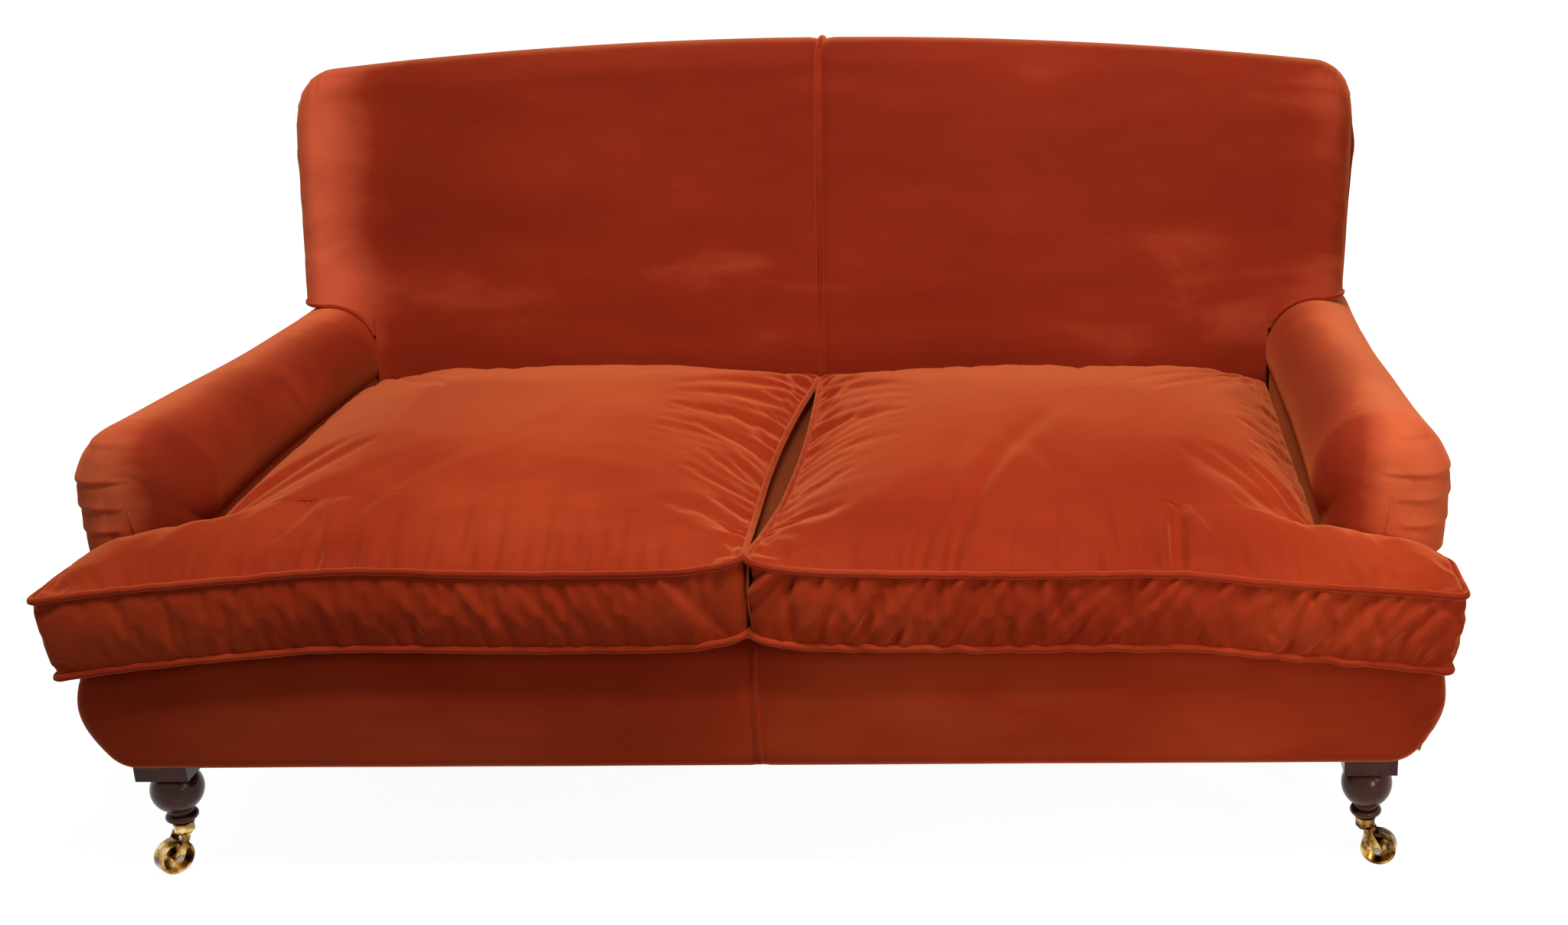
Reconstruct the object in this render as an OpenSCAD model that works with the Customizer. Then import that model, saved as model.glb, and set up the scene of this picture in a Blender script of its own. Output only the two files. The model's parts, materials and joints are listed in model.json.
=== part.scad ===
// Roll-arm sofa with two loose seat cushions, an arched tight back, turned front legs and brass castors.
// Millimetres. +X to the sitter's left as seen from the front, -Y to the front, +Z up, floor at Z = 0.
// The origin is on the floor, midway between the sides and midway between front and back.

/* [Overall] */
// Depth from the cushion fronts to the outside of the back
sofa_d = 945; // [925:5:985]
// Height of the underside above the floor
underside_z = 165; // [160:5:195]

/* [Seat frame] */
// Outside width of the seat frame at its rear end
frame_rear_w = 1600; // [1590:5:1610]
// How far each side moves outwards for each millimetre forwards
splay = 0.051; // [0.045:0.001:0.055]
// Thickness of the seat rails
rail_t = 28; // [24:1:30]
// Height of the seat rails
rail_h = 95; // [80:5:100]
// Distance of each cross rail from the centre
cross_rail_x = 255; // [245:5:260]
// Height of the cross rails
cross_rail_h = 60; // [50:5:75]
// Length of the corner blocks along each rail
corner_block_l = 90; // [70:5:100]
// Height of the corner blocks
corner_block_h = 60; // [50:5:75]
// Width of the webbing straps
strap_w = 50; // [40:5:55]
// Thickness of the webbing straps
strap_t = 2; // [1.5:0.5:2.5]

/* [Back frame] */
// Lean of the back posts
back_lean = 5.5; // [5:0.1:6]
// Width of a back post
post_w = 42; // [36:1:46]
// Depth of a back post
post_d = 42; // [38:1:44]
// How far each back post's outer face stands in from the frame's side
post_inset = 10; // [8:1:16]
// Height of the arched top rail at the centre
top_rail_h = 90; // [75:5:95]
// Depth of the top rail, lower rail and centre upright
back_rail_d = 28; // [24:1:32]
// Height of the lower back rail
lower_rail_h = 50; // [40:5:55]
// Depth of the rear legs' feet
foot_d = 30; // [26:1:34]
// How far the feet of the rear legs stand behind the seat frame
foot_kick = 30; // [20:1:34]

/* [Back upholstery] */
// Height of the back at its centre
back_z = 970; // [959:1:979]
// Radius of the arch along the top of the back
arch_r = 6900; // [6500:100:7500]
// How far the back reaches past the frame's side where it meets the arms
back_low_out = 13; // [10:1:17]
// How far the back reaches past the frame's side at its top corners
back_top_out = 32; // [27:1:37]
// Radius of the roll along the top of the back
back_roll_r = 60; // [54:1:62]
// Radius of the back's top corners seen from the front
back_corner_r = 58; // [50:1:66]
// Radius of the back's front edges
back_edge_r = 40; // [34:1:44]
// Distance from the cushion fronts to the back at seat level
seat_d = 690; // [680:2:696]
// Height at which the back starts to lean
back_knee_z = 470; // [460:1:480]
// Thickness of the stuffing over the top rail
top_stuffing = 36; // [30:1:42]
// Fullness of the back's face
back_puff = 9; // [6:1:12]

/* [Arms] */
// Radius of the arm's roll at the back
arm_rear_r = 76; // [73:1:79]
// Radius of the arm's roll at the front
arm_front_r = 90; // [86:1:93]
// Height of the roll's centre
arm_z = 505; // [499:1:511]
// How far the roll's centre stands in from the frame's side, at the back
arm_inset = 35; // [33:1:37]
// How far the arm's outer side drops below the roll's centre at the front
arm_stem_h = 90; // [84:1:96]
// Length over which the outer side changes from a roll to that drop
arm_stem_l = 150; // [130:5:170]
// How far the arms stop behind the cushion fronts
arm_setback = 110; // [106:1:114]
// Radius of the arm's rounded front
arm_nose_r = 60; // [54:1:64]
// Width of the arm's top rail
arm_rail_w = 60; // [50:2:64]
// Thickness of the arm's top rail
arm_rail_t = 26; // [22:1:28]
// Length of the front post along the arm
arm_post_l = 44; // [36:1:50]
// Thickness of the front post and tacking rail
arm_post_t = 26; // [22:1:27]
// Thickness of the outside panels
panel_t = 4; // [3:0.5:5]

/* [Seat platform] */
// Thickness of the front border's padding
border_t = 36; // [32:1:38]
// How far the front border stands behind the cushion fronts
border_setback = 18; // [16:1:22]
// How far the front border reaches past the frame's side at its fullest
border_full_out = 68; // [64:1:71]
// How far the front border reaches past the frame's side at its bottom edge
border_low_out = 10; // [6:1:14]
// Height of the platform cloth under the hollow of the seat
deck_z = 336; // [333:1:338]
// Height of the hessian over the springs
hessian_z = 295; // [292:1:296]
// Thickness of the hessian
hessian_t = 1.5; // [1:0.5:2]

/* [Cushions] */
// How far the cushions' front corners reach past the frame's side
cushion_out = 78; // [75:1:82]
// Gap between the two cushions
cushion_gap = 8; // [6:1:12]
// Height of the boxed border between its two piped seams
border_h = 101; // [96:1:106]
// Height of the lower seam above the platform
seam_lift = 8; // [6:1:10]
// Crown of the cushion above its upper seam
crown_h = 58; // [45:1:64]
// Rise of the upper seam from front to back
seam_rise = 28; // [20:1:32]
// Radius of the piping
piping_r = 4.5; // [4:0.5:5]
// Drop of the cushion's ear at the outer front corner
ear_drop = 36; // [30:1:38]
// Length of the drop along the front
ear_l = 338; // [318:5:358]
// How far the ear's lower seam is drawn in under its upper seam
ear_tuck = 14; // [8:1:18]
// Lift of the front inner corners
corner_lift = 18; // [12:1:22]
// How far each side is drawn in between its corners
drawn_in = 7; // [4:1:9]

/* [Front legs] */
// How far the legs' axes stand in from the frame's side at the back
leg_inset = 24; // [22:1:26]
// Side of the square block on top
leg_block = 68; // [62:1:70]
// Height of the square block
leg_block_h = 28; // [24:1:29]
// Radius of the ball
ball_r = 33; // [31:0.5:34]
// Height of the ball's centre
ball_z = 115; // [113:1:116]
// Radius of the ring under the ball
ring_r = 20.5; // [19:0.5:22]
// Height of the ring's centre
ring_z = 75; // [74:0.5:76]
// Radius of the neck where it enters the castor's socket
neck_r = 11; // [10:0.5:12]
// Radius of the hanger bolt
bolt_r = 5; // [4:0.5:6]
// Length of the hanger bolt above and below the joint
bolt_half_l = 45; // [36:1:50]

/* [Castors] */
// Radius of the castor wheel
wheel_r = 23; // [21:0.5:23.5]
// Width of the castor wheel
wheel_w = 20; // [18:0.5:22]
// Distance from the swivel axis to the axle
castor_trail = 19; // [18:0.5:21]
// Height of the underside of the socket cup
cup_z = 53; // [52.5:0.5:54]
// Wall of the socket cup
cup_t = 1.6; // [1.2:0.2:2]
// Thickness of the fork's crown
crown_t = 4; // [3.5:0.5:4.5]
// Thickness of the fork's arms
fork_t = 3; // [2.5:0.5:3.5]
// Radius of the king pin
king_pin_r = 3.5; // [3:0.25:4]
// Radius of the axle
axle_r = 2.5; // [2:0.25:3]
// Direction in which the left castor trails, from +X
left_trail_angle = -128; // [-180:1:180]
// Direction in which the right castor trails, from +X
right_trail_angle = -14; // [-180:1:180]

/* [Fits] */
// Gap between soft pieces and what they rest on or pass
seat_gap = 0.3; // [0.25:0.05:0.4]
// Gap between a cushion and the upholstery beside it
side_gap = 3; // [2:0.5:4]
// Radial clearance of the running fits
running_fit = 0.06; // [0.04:0.01:0.1]

/* [Hidden] */
$fn = 48;

velvet = "#b8401c";
timber = "#c9a06a";
jute = "#b59a6a";
cloth = "#e4dcc8";
dark_wood = "#4a2014";
brass = "#c8a24a";
steel = "#9a9a98";

front_y = -sofa_d / 2;
rear_y = sofa_d / 2;
frame_x = frame_rear_w / 2;
post_outer_x = frame_x - post_inset;
back_low_x = frame_x + back_low_out;
back_top_x = frame_x + back_top_out;
arm_x = frame_x - arm_inset;
border_full_x = frame_x + border_full_out;
border_low_x = frame_x + border_low_out;
cushion_front_x = frame_x + cushion_out;
ear_start_x = cushion_front_x - ear_l;
leg_x = frame_x - leg_inset;
cover_t = 1.2;
rail_z = underside_z + cover_t + 2 * seat_gap + 2 * strap_t;
rail_top_z = rail_z + rail_h;
border_y = front_y + border_setback;
rail_front_y = border_y + border_t;
rail_back_y = rail_front_y + rail_t;
arm_front_y = front_y + arm_setback;
back_y = front_y + seat_d;
roll_z = back_z - back_roll_r;
top_rail_z = back_z - top_stuffing;
plane_y = rear_y - (top_rail_z - rail_top_z) * tan(back_lean) - (seat_gap + panel_t) * cos(back_lean);
post_front_y = plane_y - post_d;
leg_y = rail_front_y + rail_t / 2 + 4;
tuck = 0.5;
cloth_inset = 4;
past = 60;

function mix(a, b, t) = a + (b - a) * t;
function clamp01(t) = min(1, max(0, t));
function ease(t) = let (k = clamp01(t)) k * k * (3 - 2 * k);
function side_x(y) = frame_x + (post_front_y - y) * splay;
function rear_plane_y(z) = plane_y + (z - rail_top_z) * tan(back_lean);
function post_face_y(z) = rear_plane_y(z) - post_d / cos(back_lean);
// How far a round corner of radius r stands back at a distance from its edge
function rounding(edge, r) = edge < r ? r - sqrt(r * r - (r - edge) * (r - edge)) : 0;
// Drop of the arch along the top of the back, away from the centre
function arch(x) = arch_r - sqrt(arch_r * arch_r - x * x);

// A closed skin over rings that all have the same number of points, with a fan over each end
module skin(rings, first_cap, last_cap) {
    n = len(rings[0]);
    last = (len(rings) - 1) * n;
    first_hub = len(rings) * n;
    walls = [
        for (i = [0:len(rings) - 2], j = [0:n - 1])
            let (a = i * n + j, b = i * n + (j + 1) % n)
                each [[a, b + n, b], [a, a + n, b + n]]
    ];
    first_fan = [for (j = [0:n - 1]) [first_hub, j, (j + 1) % n]];
    last_fan = [for (j = [0:n - 1]) [first_hub + 1, last + (j + 1) % n, last + j]];
    polyhedron(
        points = concat([for (ring = rings) each ring], [first_cap, last_cap]),
        faces = concat(walls, first_fan, last_fan)
    );
}

// A bar along the side of the frame, its long faces following the splay
module splay_bar(inset, width, y0, y1, z0, height) {
    translate([0, 0, z0])
        linear_extrude(height)
            polygon([
                [side_x(y0) - inset - width, y0], [side_x(y0) - inset, y0],
                [side_x(y1) - inset, y1], [side_x(y1) - inset - width, y1]
            ]);
}

// Turns a drawing in width and height into one that lies in the plane of the back posts' rear faces
module on_back_plane(depth_from, depth) {
    translate([0, plane_y, rail_top_z])
        rotate([90 - back_lean, 0, 0])
            translate([0, 0, depth_from])
                linear_extrude(depth)
                    children();
}

module left_side() {
    mirror([1, 0, 0]) children();
}

// Seat frame

module seat_cross_bar(y0, thickness, half_length) {
    translate([-half_length, y0, rail_z]) cube([2 * half_length, thickness, rail_h]);
}

module front_seat_rail() {
    color(timber)
        difference() {
            seat_cross_bar(rail_front_y, rail_t, side_x(rail_back_y));
            for (side = [-1, 1])
                translate([side * leg_x, leg_y, rail_z - 1])
                    cylinder(h = bolt_half_l + 2, r = bolt_r + running_fit);
        }
}

module rear_seat_rail() {
    color(timber)
        seat_cross_bar(post_front_y - rail_t, rail_t, side_x(post_front_y) - rail_t);
}

module side_rail() {
    color(timber)
        splay_bar(0, rail_t, rail_back_y, post_front_y, rail_z, rail_h);
}

module cross_rail() {
    color(timber)
        translate([cross_rail_x - rail_t / 2, rail_back_y, rail_z])
            cube([rail_t, post_front_y - rail_t - rail_back_y, cross_rail_h]);
}

module corner_block() {
    inner_x = side_x(rail_back_y) - rail_t;
    rear_x = side_x(rail_back_y + corner_block_l) - rail_t;
    translate([0, 0, rail_top_z - corner_block_h])
        linear_extrude(corner_block_h)
            polygon([
                [inner_x, rail_back_y], [rear_x, rail_back_y + corner_block_l],
                [inner_x - corner_block_l, rail_back_y]
            ]);
}

module corner_blocks() {
    color(timber) {
        corner_block();
        left_side() corner_block();
    }
}

// Back frame

module back_post() {
    bend = rail_top_z + post_d;
    shin = rail_z / 2;
    color(timber)
        translate([post_outer_x - post_w, 0, 0])
            rotate([90, 0, 90])
                linear_extrude(post_w)
                    polygon([
                        [plane_y + foot_kick - foot_d, 0],
                        [plane_y + foot_kick, 0],
                        [plane_y + foot_kick * 0.25, shin],
                        [rear_plane_y(rail_z), rail_z],
                        [rear_plane_y(post_top_z), post_top_z],
                        [post_face_y(post_top_z), post_top_z],
                        [post_face_y(bend), bend],
                        [post_front_y, rail_top_z],
                        [post_front_y, rail_z],
                        [post_front_y + foot_kick * 0.15, shin]
                    ]);
}

// Heights above the seat rails, measured up the leaning plane
function up_plane(z) = (z - rail_top_z) / cos(back_lean);
rail_end_rise = 20;
post_top_z = top_rail_z - arch(post_outer_x) - top_rail_h + rail_end_rise;
lower_rail_z = deck_z + 10;

module under_arch(top_z) {
    translate([0, up_plane(top_z) - arch_r]) circle(arch_r, $fn = 720);
}

module back_top_rail() {
    low = up_plane(post_top_z);
    color(timber)
        on_back_plane(0, post_d)
            intersection() {
                under_arch(top_rail_z);
                translate([-post_outer_x, low])
                    square([2 * post_outer_x, up_plane(top_rail_z) - low + 1]);
            }
}

module back_lower_rail() {
    inner = post_outer_x - post_w;
    color(timber)
        on_back_plane(post_d - back_rail_d, back_rail_d)
            translate([-inner, up_plane(lower_rail_z)])
                square([2 * inner, lower_rail_h]);
}

module back_centre_post() {
    low = up_plane(lower_rail_z) + lower_rail_h;
    color(timber)
        on_back_plane(post_d - back_rail_d, back_rail_d)
            translate([-post_w / 2, low])
                square([post_w, up_plane(post_top_z) - low]);
}

// Arm frame

arm_rail_z = arm_z + 4;
arm_rail_end_y = post_face_y(arm_rail_z);
arm_post_set = 40;
arm_post_y = arm_front_y + arm_post_set;
tack_rail_z = 375;
tack_rail_h = 30;
tack_end_y = post_face_y(tack_rail_z);

module arm_post() {
    color(timber)
        splay_bar(0, arm_post_t, arm_post_y, arm_post_y + arm_post_l, rail_top_z, arm_rail_z - rail_top_z);
}

module arm_rail() {
    color(timber)
        splay_bar(0, arm_rail_w, arm_post_y, arm_rail_end_y, arm_rail_z, arm_rail_t);
}

module tack_rail() {
    color(timber)
        splay_bar(0, arm_post_t, arm_post_y + arm_post_l, tack_end_y, tack_rail_z, tack_rail_h);
}

// Springing

bay_pitch = 2 * cross_rail_x;
strap_xs = [for (bay = [-1:1], half = [-1, 1]) bay * bay_pitch + half * bay_pitch / 4];
spring_rows = [0.3, 0.7];
function strap_y(share) = mix(rail_back_y, post_front_y - rail_t, share);

module seat_webbing() {
    lower_z = rail_z - 2 * strap_t;
    rear_strap_y = post_front_y - 2 * tuck;
    color(jute) {
        for (x = strap_xs)
            translate([x - strap_w / 2, rail_front_y + 2, lower_z])
                cube([strap_w, rear_strap_y - rail_front_y - 2, strap_t]);
        for (share = spring_rows) {
            reach = side_x(strap_y(share)) - rail_t / 3;
            translate([-reach, strap_y(share) - strap_w / 2, rail_z - strap_t])
                cube([2 * reach, strap_w, strap_t]);
        }
    }
}

spring_wire_r = 2;
spring_end_r = 40;
spring_waist_r = 27;
spring_turns = 3.5;
spring_steps = 28;
spring_sides = 5;

// An hourglass spring: a wire swept along a helix whose radius is least at mid height
module seat_spring() {
    low = rail_z + spring_wire_r + seat_gap;
    high = hessian_z - spring_wire_r - seat_gap;
    rings = [
        for (i = [0:spring_steps])
            let (t = i / spring_steps, turn = 360 * spring_turns * t)
                let (r = mix(spring_waist_r, spring_end_r, pow(abs(2 * t - 1), 2)))
                    let (z = mix(low, high, ease(t)))
                        [for (k = [0:spring_sides - 1])
                            let (a = -360 * k / spring_sides, w = r + spring_wire_r * cos(a))
                                [w * cos(turn), w * sin(turn), z + spring_wire_r * sin(a)]]
    ];
    centre_of = function(ring) [for (c = [0:2]) average([for (p = ring) p[c]])];
    skin(rings, centre_of(rings[0]), centre_of(rings[spring_steps]));
}

function average(list) = total(list, len(list) - 1) / len(list);
function total(list, i) = i < 0 ? 0 : list[i] + total(list, i - 1);

module seat_springs() {
    color(steel)
        for (x = strap_xs, share = spring_rows)
            translate([x, strap_y(share), 0]) seat_spring();
}

deck_half_x = arm_x - arm_rear_r - seat_gap;

// The plan of the platform: narrow between the arms, wide in front of them
module platform_plan(inset, ear_inset) {
    near = rail_front_y + seat_gap + inset;
    ear_back = arm_front_y - 1;
    far = post_front_y - rail_t - inset;
    function inner(y) = deck_half_x + (back_y - y) * splay - inset;
    polygon([
        [-ear_inset, near], [ear_inset, near], [ear_inset, ear_back], [inner(ear_back), ear_back],
        [inner(back_y), back_y], [inner(back_y), far], [-inner(back_y), far],
        [-inner(back_y), back_y], [-inner(ear_back), ear_back], [-ear_inset, ear_back]
    ]);
}

module seat_hessian() {
    color(jute)
        translate([0, 0, hessian_z])
            linear_extrude(hessian_t)
                platform_plan(cloth_inset / 2, side_x(rail_front_y) - cloth_inset);
}

// Height of the cushions' underside, which the platform under them follows
function under_z(x) = deck_z - ear_drop * pow(clamp01((abs(x) - ear_start_x) / ear_l), 1.25);

// The platform lies a little lower where the cushion's underside curves down to the ear, and just before it
ear_slack = 2;
ear_lead = 70;
function platform_z(x) =
    under_z(x) - seat_gap - ear_slack * clamp01((abs(x) - ear_start_x + ear_lead) / cloth_inset);

module seat_deck() {
    reach = side_x(rail_front_y) - cloth_inset;
    steps = 24;
    bottom = hessian_z + hessian_t + seat_gap;
    top = [for (i = [0:steps]) let (x = mix(reach, -reach, i / steps)) [x, platform_z(x)]];
    color(cloth)
        intersection() {
            translate([0, rear_y, 0])
                rotate([90, 0, 0])
                    linear_extrude(sofa_d)
                        polygon(concat([[-reach, bottom], [reach, bottom]], top));
            translate([0, 0, bottom - 1])
                linear_extrude(deck_z)
                    platform_plan(0, reach);
        }
}

// Back upholstery

web_t = 2;
arm_pass = 2;
back_drop_end_z = arm_z + arm_rear_r + arm_pass;

module back_webbing() {
    half = post_outer_x - post_w - strap_w;
    count = 6;
    low = up_plane(lower_rail_z + cloth_inset);
    color(jute)
        on_back_plane(post_d, web_t)
            for (i = [0:count - 1])
                translate([mix(-half, half, i / (count - 1)) - strap_w / 2, low])
                    square([strap_w, up_plane(post_top_z + strap_w) - low]);
}

widest_below_roll = 30;

// Half width of the back at a height
function back_x(z) =
    mix(back_low_x, back_top_x, clamp01((z - back_drop_end_z) / (roll_z - widest_below_roll - back_drop_end_z)));

// Where the back's underside lies: on the platform between the arms, over the rolls beyond them
function back_low_z(x) =
    abs(x) < deck_half_x ? deck_z
    : abs(x) < arm_x ? arm_z + sqrt(pow(arm_rear_r + arm_pass, 2) - pow(abs(x) - arm_x, 2))
    : arm_z + arm_rear_r + arm_pass;

// A raised line along the middle of the back, where the two halves of the cover meet in piping
function seam_ridge(x) = abs(x) < piping_r ? sqrt(piping_r * piping_r - x * x) : 0;

back_face_steps = 9;
back_roll_steps = 9;
back_rear_steps = 2;

// One slice of the back, from its underside up the face, over the roll and down the rear
function back_slice(share) =
    let (x = share * back_low_x, edge = back_low_x - abs(x))
    let (round_in = rounding(edge, back_edge_r), corner = rounding(edge, back_corner_r))
    let (proud = seam_ridge(x), r = back_roll_r - round_in / 2 + proud)
    let (centre_z = roll_z - arch(x) - corner + round_in / 2)
    let (centre_y = rear_plane_y(centre_z) - r / cos(back_lean))
    let (knee_y = back_y + round_in - proud, dy = centre_y - knee_y, dz = centre_z - back_knee_z)
    let (lean = atan2(dy, dz) - asin(r / norm([dy, dz])))
    let (low = back_low_z(x), start_z = centre_z + r * sin(lean))
    let (puff = back_puff * (1 - pow(share, 4)))
    [
        for (i = [0:back_face_steps - 1])
            let (z = mix(low, start_z, i / back_face_steps))
            let (rise = clamp01((z - back_knee_z) / (start_z - back_knee_z)))
                [share * back_x(z), knee_y + max(0, z - back_knee_z) * tan(lean) - puff * sin(180 * rise), z],
        for (i = [0:back_roll_steps])
            let (a = mix(180 - lean, -back_lean, i / back_roll_steps))
                [share * back_x(centre_z), centre_y + r * cos(a), centre_z + r * sin(a)],
        for (i = [1:back_rear_steps])
            let (z = mix(centre_z - r * sin(back_lean), low, i / back_rear_steps))
                [share * back_x(z), rear_plane_y(z), z]
    ];

back_half_shares = [
    0, 0.0028, 0.0056, 0.012, 0.1, 0.22, 0.36, 0.5, 0.62, 0.72, 0.8, (deck_half_x - 0.5) / back_low_x,
    (deck_half_x + 0.2) / back_low_x, 0.862, 0.885, 0.915, 0.94, 0.96, 0.975, 0.988, 0.996, 1
];
back_shares = concat(
    [for (i = [len(back_half_shares) - 1:-1:1]) back_half_shares[i]],
    -back_half_shares
);

module back_pad() {
    rings = [for (share = back_shares) back_slice(share)];
    hub = [back_low_x, rear_plane_y(back_drop_end_z) - back_roll_r, mix(back_drop_end_z, roll_z, 0.5)];
    color(velvet)
        difference() {
            skin(rings, hub, [-hub[0], hub[1], hub[2]]);
            on_back_plane(-past, post_d + web_t + seat_gap + past)
                intersection() {
                    under_arch(top_rail_z + seat_gap);
                    translate([-post_outer_x - seat_gap, up_plane(rail_z)])
                        square([2 * (post_outer_x + seat_gap), back_z]);
                }
        }
}

module outside_back() {
    low = up_plane(rail_z);
    top = up_plane(top_rail_z);
    shoulder_x = back_top_x - back_corner_r;
    shoulder_z = top - back_corner_r * 0.3;
    arm_top = up_plane(back_drop_end_z);
    low_x = side_x(post_front_y) + seat_gap + panel_t;
    color(velvet)
        on_back_plane(-seat_gap - panel_t, panel_t)
            intersection() {
                under_arch(top_rail_z);
                for (side = [-1, 1])
                    polygon([
                        [-side, low], [side * low_x, low], [side * (back_low_x - 2), arm_top],
                        [side * (back_top_x - 4), top - 1.5 * back_corner_r],
                        [side * (shoulder_x + back_corner_r * 0.5), shoulder_z - back_corner_r * 0.5],
                        [side * shoulder_x, top + 1], [-side, top + 1]
                    ]);
            }
}

// Arm upholstery

arm_rear_y = rear_plane_y(underside_z) - 1;
roll_steps = 16;
roll_start = -42;

// Distance of the roll's centre from the middle of the sofa
function roll_x(y) = arm_x + max(0, back_y - y) * splay;
// Radius of the roll, which swells towards the front
function roll_r(y) = mix(arm_rear_r, arm_front_r, pow(clamp01((back_y - y) / (back_y - arm_front_y)), 2));
// Distance of the arm's inner wall from the middle of the sofa
function wall_x(y) = roll_x(y) - arm_rear_r;

// One slice of the arm: the roll over a slab that stands on the side rail, overhanging its inner wall
// Towards the front the roll's outer side stops turning under and drops straight down
function arm_slice(y) =
    let (inset = rounding(y - arm_front_y, arm_nose_r), r = roll_r(y) - inset, cx = roll_x(y))
    let (straight = clamp01((arm_front_y + arm_stem_l - y) / arm_stem_l))
    let (wall = max(wall_x(y), cx - r), roll_end = 180 + acos(min(1, (cx - wall) / r)))
    let (outer = min(side_x(y), cx + r * cos(roll_start)) - inset * 0.5)
    let (drop = mix(-r * sin(roll_start), arm_stem_h, straight))
    [
        for (i = [0:roll_steps])
            let (a = mix(roll_start, roll_end, i / roll_steps))
                a < 0 ? [cx + r * mix(cos(a), 1, straight), y, arm_z - drop * sin(a) / sin(roll_start)]
                : [cx + r * cos(a), y, arm_z + r * sin(a)],
        [wall, y, rail_top_z + seat_gap], [outer, y, rail_top_z + seat_gap], [outer, y, arm_z - drop]
    ];

arm_slice_ys = concat(
    [for (i = [0:6]) mix(arm_rear_y, arm_front_y + arm_nose_r, i / 6)],
    [for (a = [25:13:90]) arm_front_y + arm_nose_r * (1 - sin(a))]
);

module arm_pad() {
    rings = [for (y = arm_slice_ys) arm_slice(y)];
    cut_y = arm_post_y - seat_gap;
    post_slack = 2;
    // Middle of an end face, over the middle of the slab's foot
    function hub(ring) =
        [(ring[roll_steps + 1][0] + ring[roll_steps + 2][0]) / 2, ring[0][1], arm_z - arm_front_r / 2];
    color(velvet)
        difference() {
            skin(rings, hub(rings[0]), hub(rings[len(rings) - 1]));
            splay_bar(-post_slack, arm_post_t + seat_gap + post_slack, cut_y, cut_y + arm_post_l + 2 * seat_gap,
                rail_top_z, arm_rail_z + 1 - rail_top_z);
            splay_bar(-seat_gap, arm_rail_w + 2 * seat_gap, cut_y, rear_y,
                arm_rail_z - seat_gap, arm_rail_t + 2 * seat_gap);
            splay_bar(-past, arm_post_t + 2 * seat_gap + past, arm_post_y + arm_post_l, rear_y,
                tack_rail_z - seat_gap, tack_rail_h + 2 * seat_gap);
            translate([arm_x - 2 * arm_rear_r, post_front_y - 1, rail_z])
                cube([post_outer_x + seat_gap - arm_x + 2 * arm_rear_r, rear_y, back_z]);
        }
}

// The outside of the arm: low under the cushion's ear, then up to the underside of the roll
module outside_arm() {
    foot_z = underside_z + 2;
    under_roll = arm_z + arm_front_r * sin(roll_start) - cloth_inset;
    under_stem = arm_z - arm_stem_h - cloth_inset;
    front = rail_front_y + seat_gap;
    bay_y = arm_front_y + arm_nose_r * 0.4;
    color(velvet)
        intersection() {
            splay_bar(-panel_t - seat_gap, panel_t, front, arm_rear_y, foot_z, under_roll - foot_z);
            rotate([90, 0, 90])
                linear_extrude(side_x(front) + past)
                    polygon([
                        [front, foot_z], [arm_rear_y, foot_z], [arm_rear_y, under_roll],
                        [arm_front_y + arm_stem_l, under_roll], [bay_y, under_stem], [bay_y, hessian_z],
                        [front, hessian_z]
                    ]);
        }
}

// Front border

border_full_z = 250;
border_edge_r = 22;
border_shoulder = 30;

module front_border() {
    cut_half = leg_block / 2 + seat_gap;
    color(velvet)
        difference() {
            union() {
                intersection() {
                    translate([0, rail_front_y, 0])
                        rotate([90, 0, 0])
                            linear_extrude(border_t)
                                border_outline();
                    translate([-border_full_x, rail_front_y, 0])
                        rotate([90, 0, 90])
                            linear_extrude(2 * border_full_x)
                                border_profile();
                }
                translate([0, border_y, underside_z + border_edge_r / 2])
                    cylinder(h = deck_z - underside_z - border_edge_r, r = piping_r);
            }
            for (side = [-1, 1])
                translate([side * leg_x - cut_half, leg_y - cut_half, underside_z - 1])
                    cube([2 * cut_half, leg_block, rail_z + seat_gap - underside_z + 1]);
        }
}

// Front view of the border: drawn in to the legs below, fullest at mid height, its top under the cushions
module border_outline() {
    shoulder_x = border_full_x - border_shoulder;
    shoulder_z = platform_z(shoulder_x);
    side = concat(
        [for (a = [0:15:90])
            [mix(border_low_x, border_full_x, sin(a)), mix(border_full_z, underside_z, cos(a))]],
        [for (a = [20:20:80])
            [mix(shoulder_x, border_full_x, cos(a)), mix(border_full_z, shoulder_z, sin(a))]]
    );
    steps = 20;
    polygon(concat(
        side,
        [for (i = [0:steps]) let (x = mix(shoulder_x, -shoulder_x, i / steps)) [x, platform_z(x)]],
        [for (i = [len(side) - 1:-1:0]) [-side[i][0], side[i][1]]]
    ));
}

// Section through the border, with both front edges rounded
module border_profile() {
    r = border_edge_r;
    hull() {
        translate([-border_t + r, underside_z + r]) circle(r);
        translate([-border_t + r, deck_z - r]) circle(r);
        translate([-r, underside_z]) square([r, deck_z - underside_z]);
    }
}

module dust_cover() {
    half = side_x(rail_back_y) - rail_t;
    rear_half = side_x(post_front_y) - cloth_inset;
    near = rail_front_y + cloth_inset;
    far = post_front_y - cloth_inset;
    hole = leg_block + cloth_inset;
    color("#2c2a28")
        translate([0, 0, underside_z + seat_gap])
            linear_extrude(cover_t)
                difference() {
                    polygon([[-half, near], [half, near], [rear_half, far], [-rear_half, far]]);
                    for (side = [-1, 1])
                        translate([side * leg_x - hole / 2, leg_y - hole / 2]) square([hole, hole]);
                }
}

// Front legs

cup_grip = 11;
cup_lip = 2;

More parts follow.
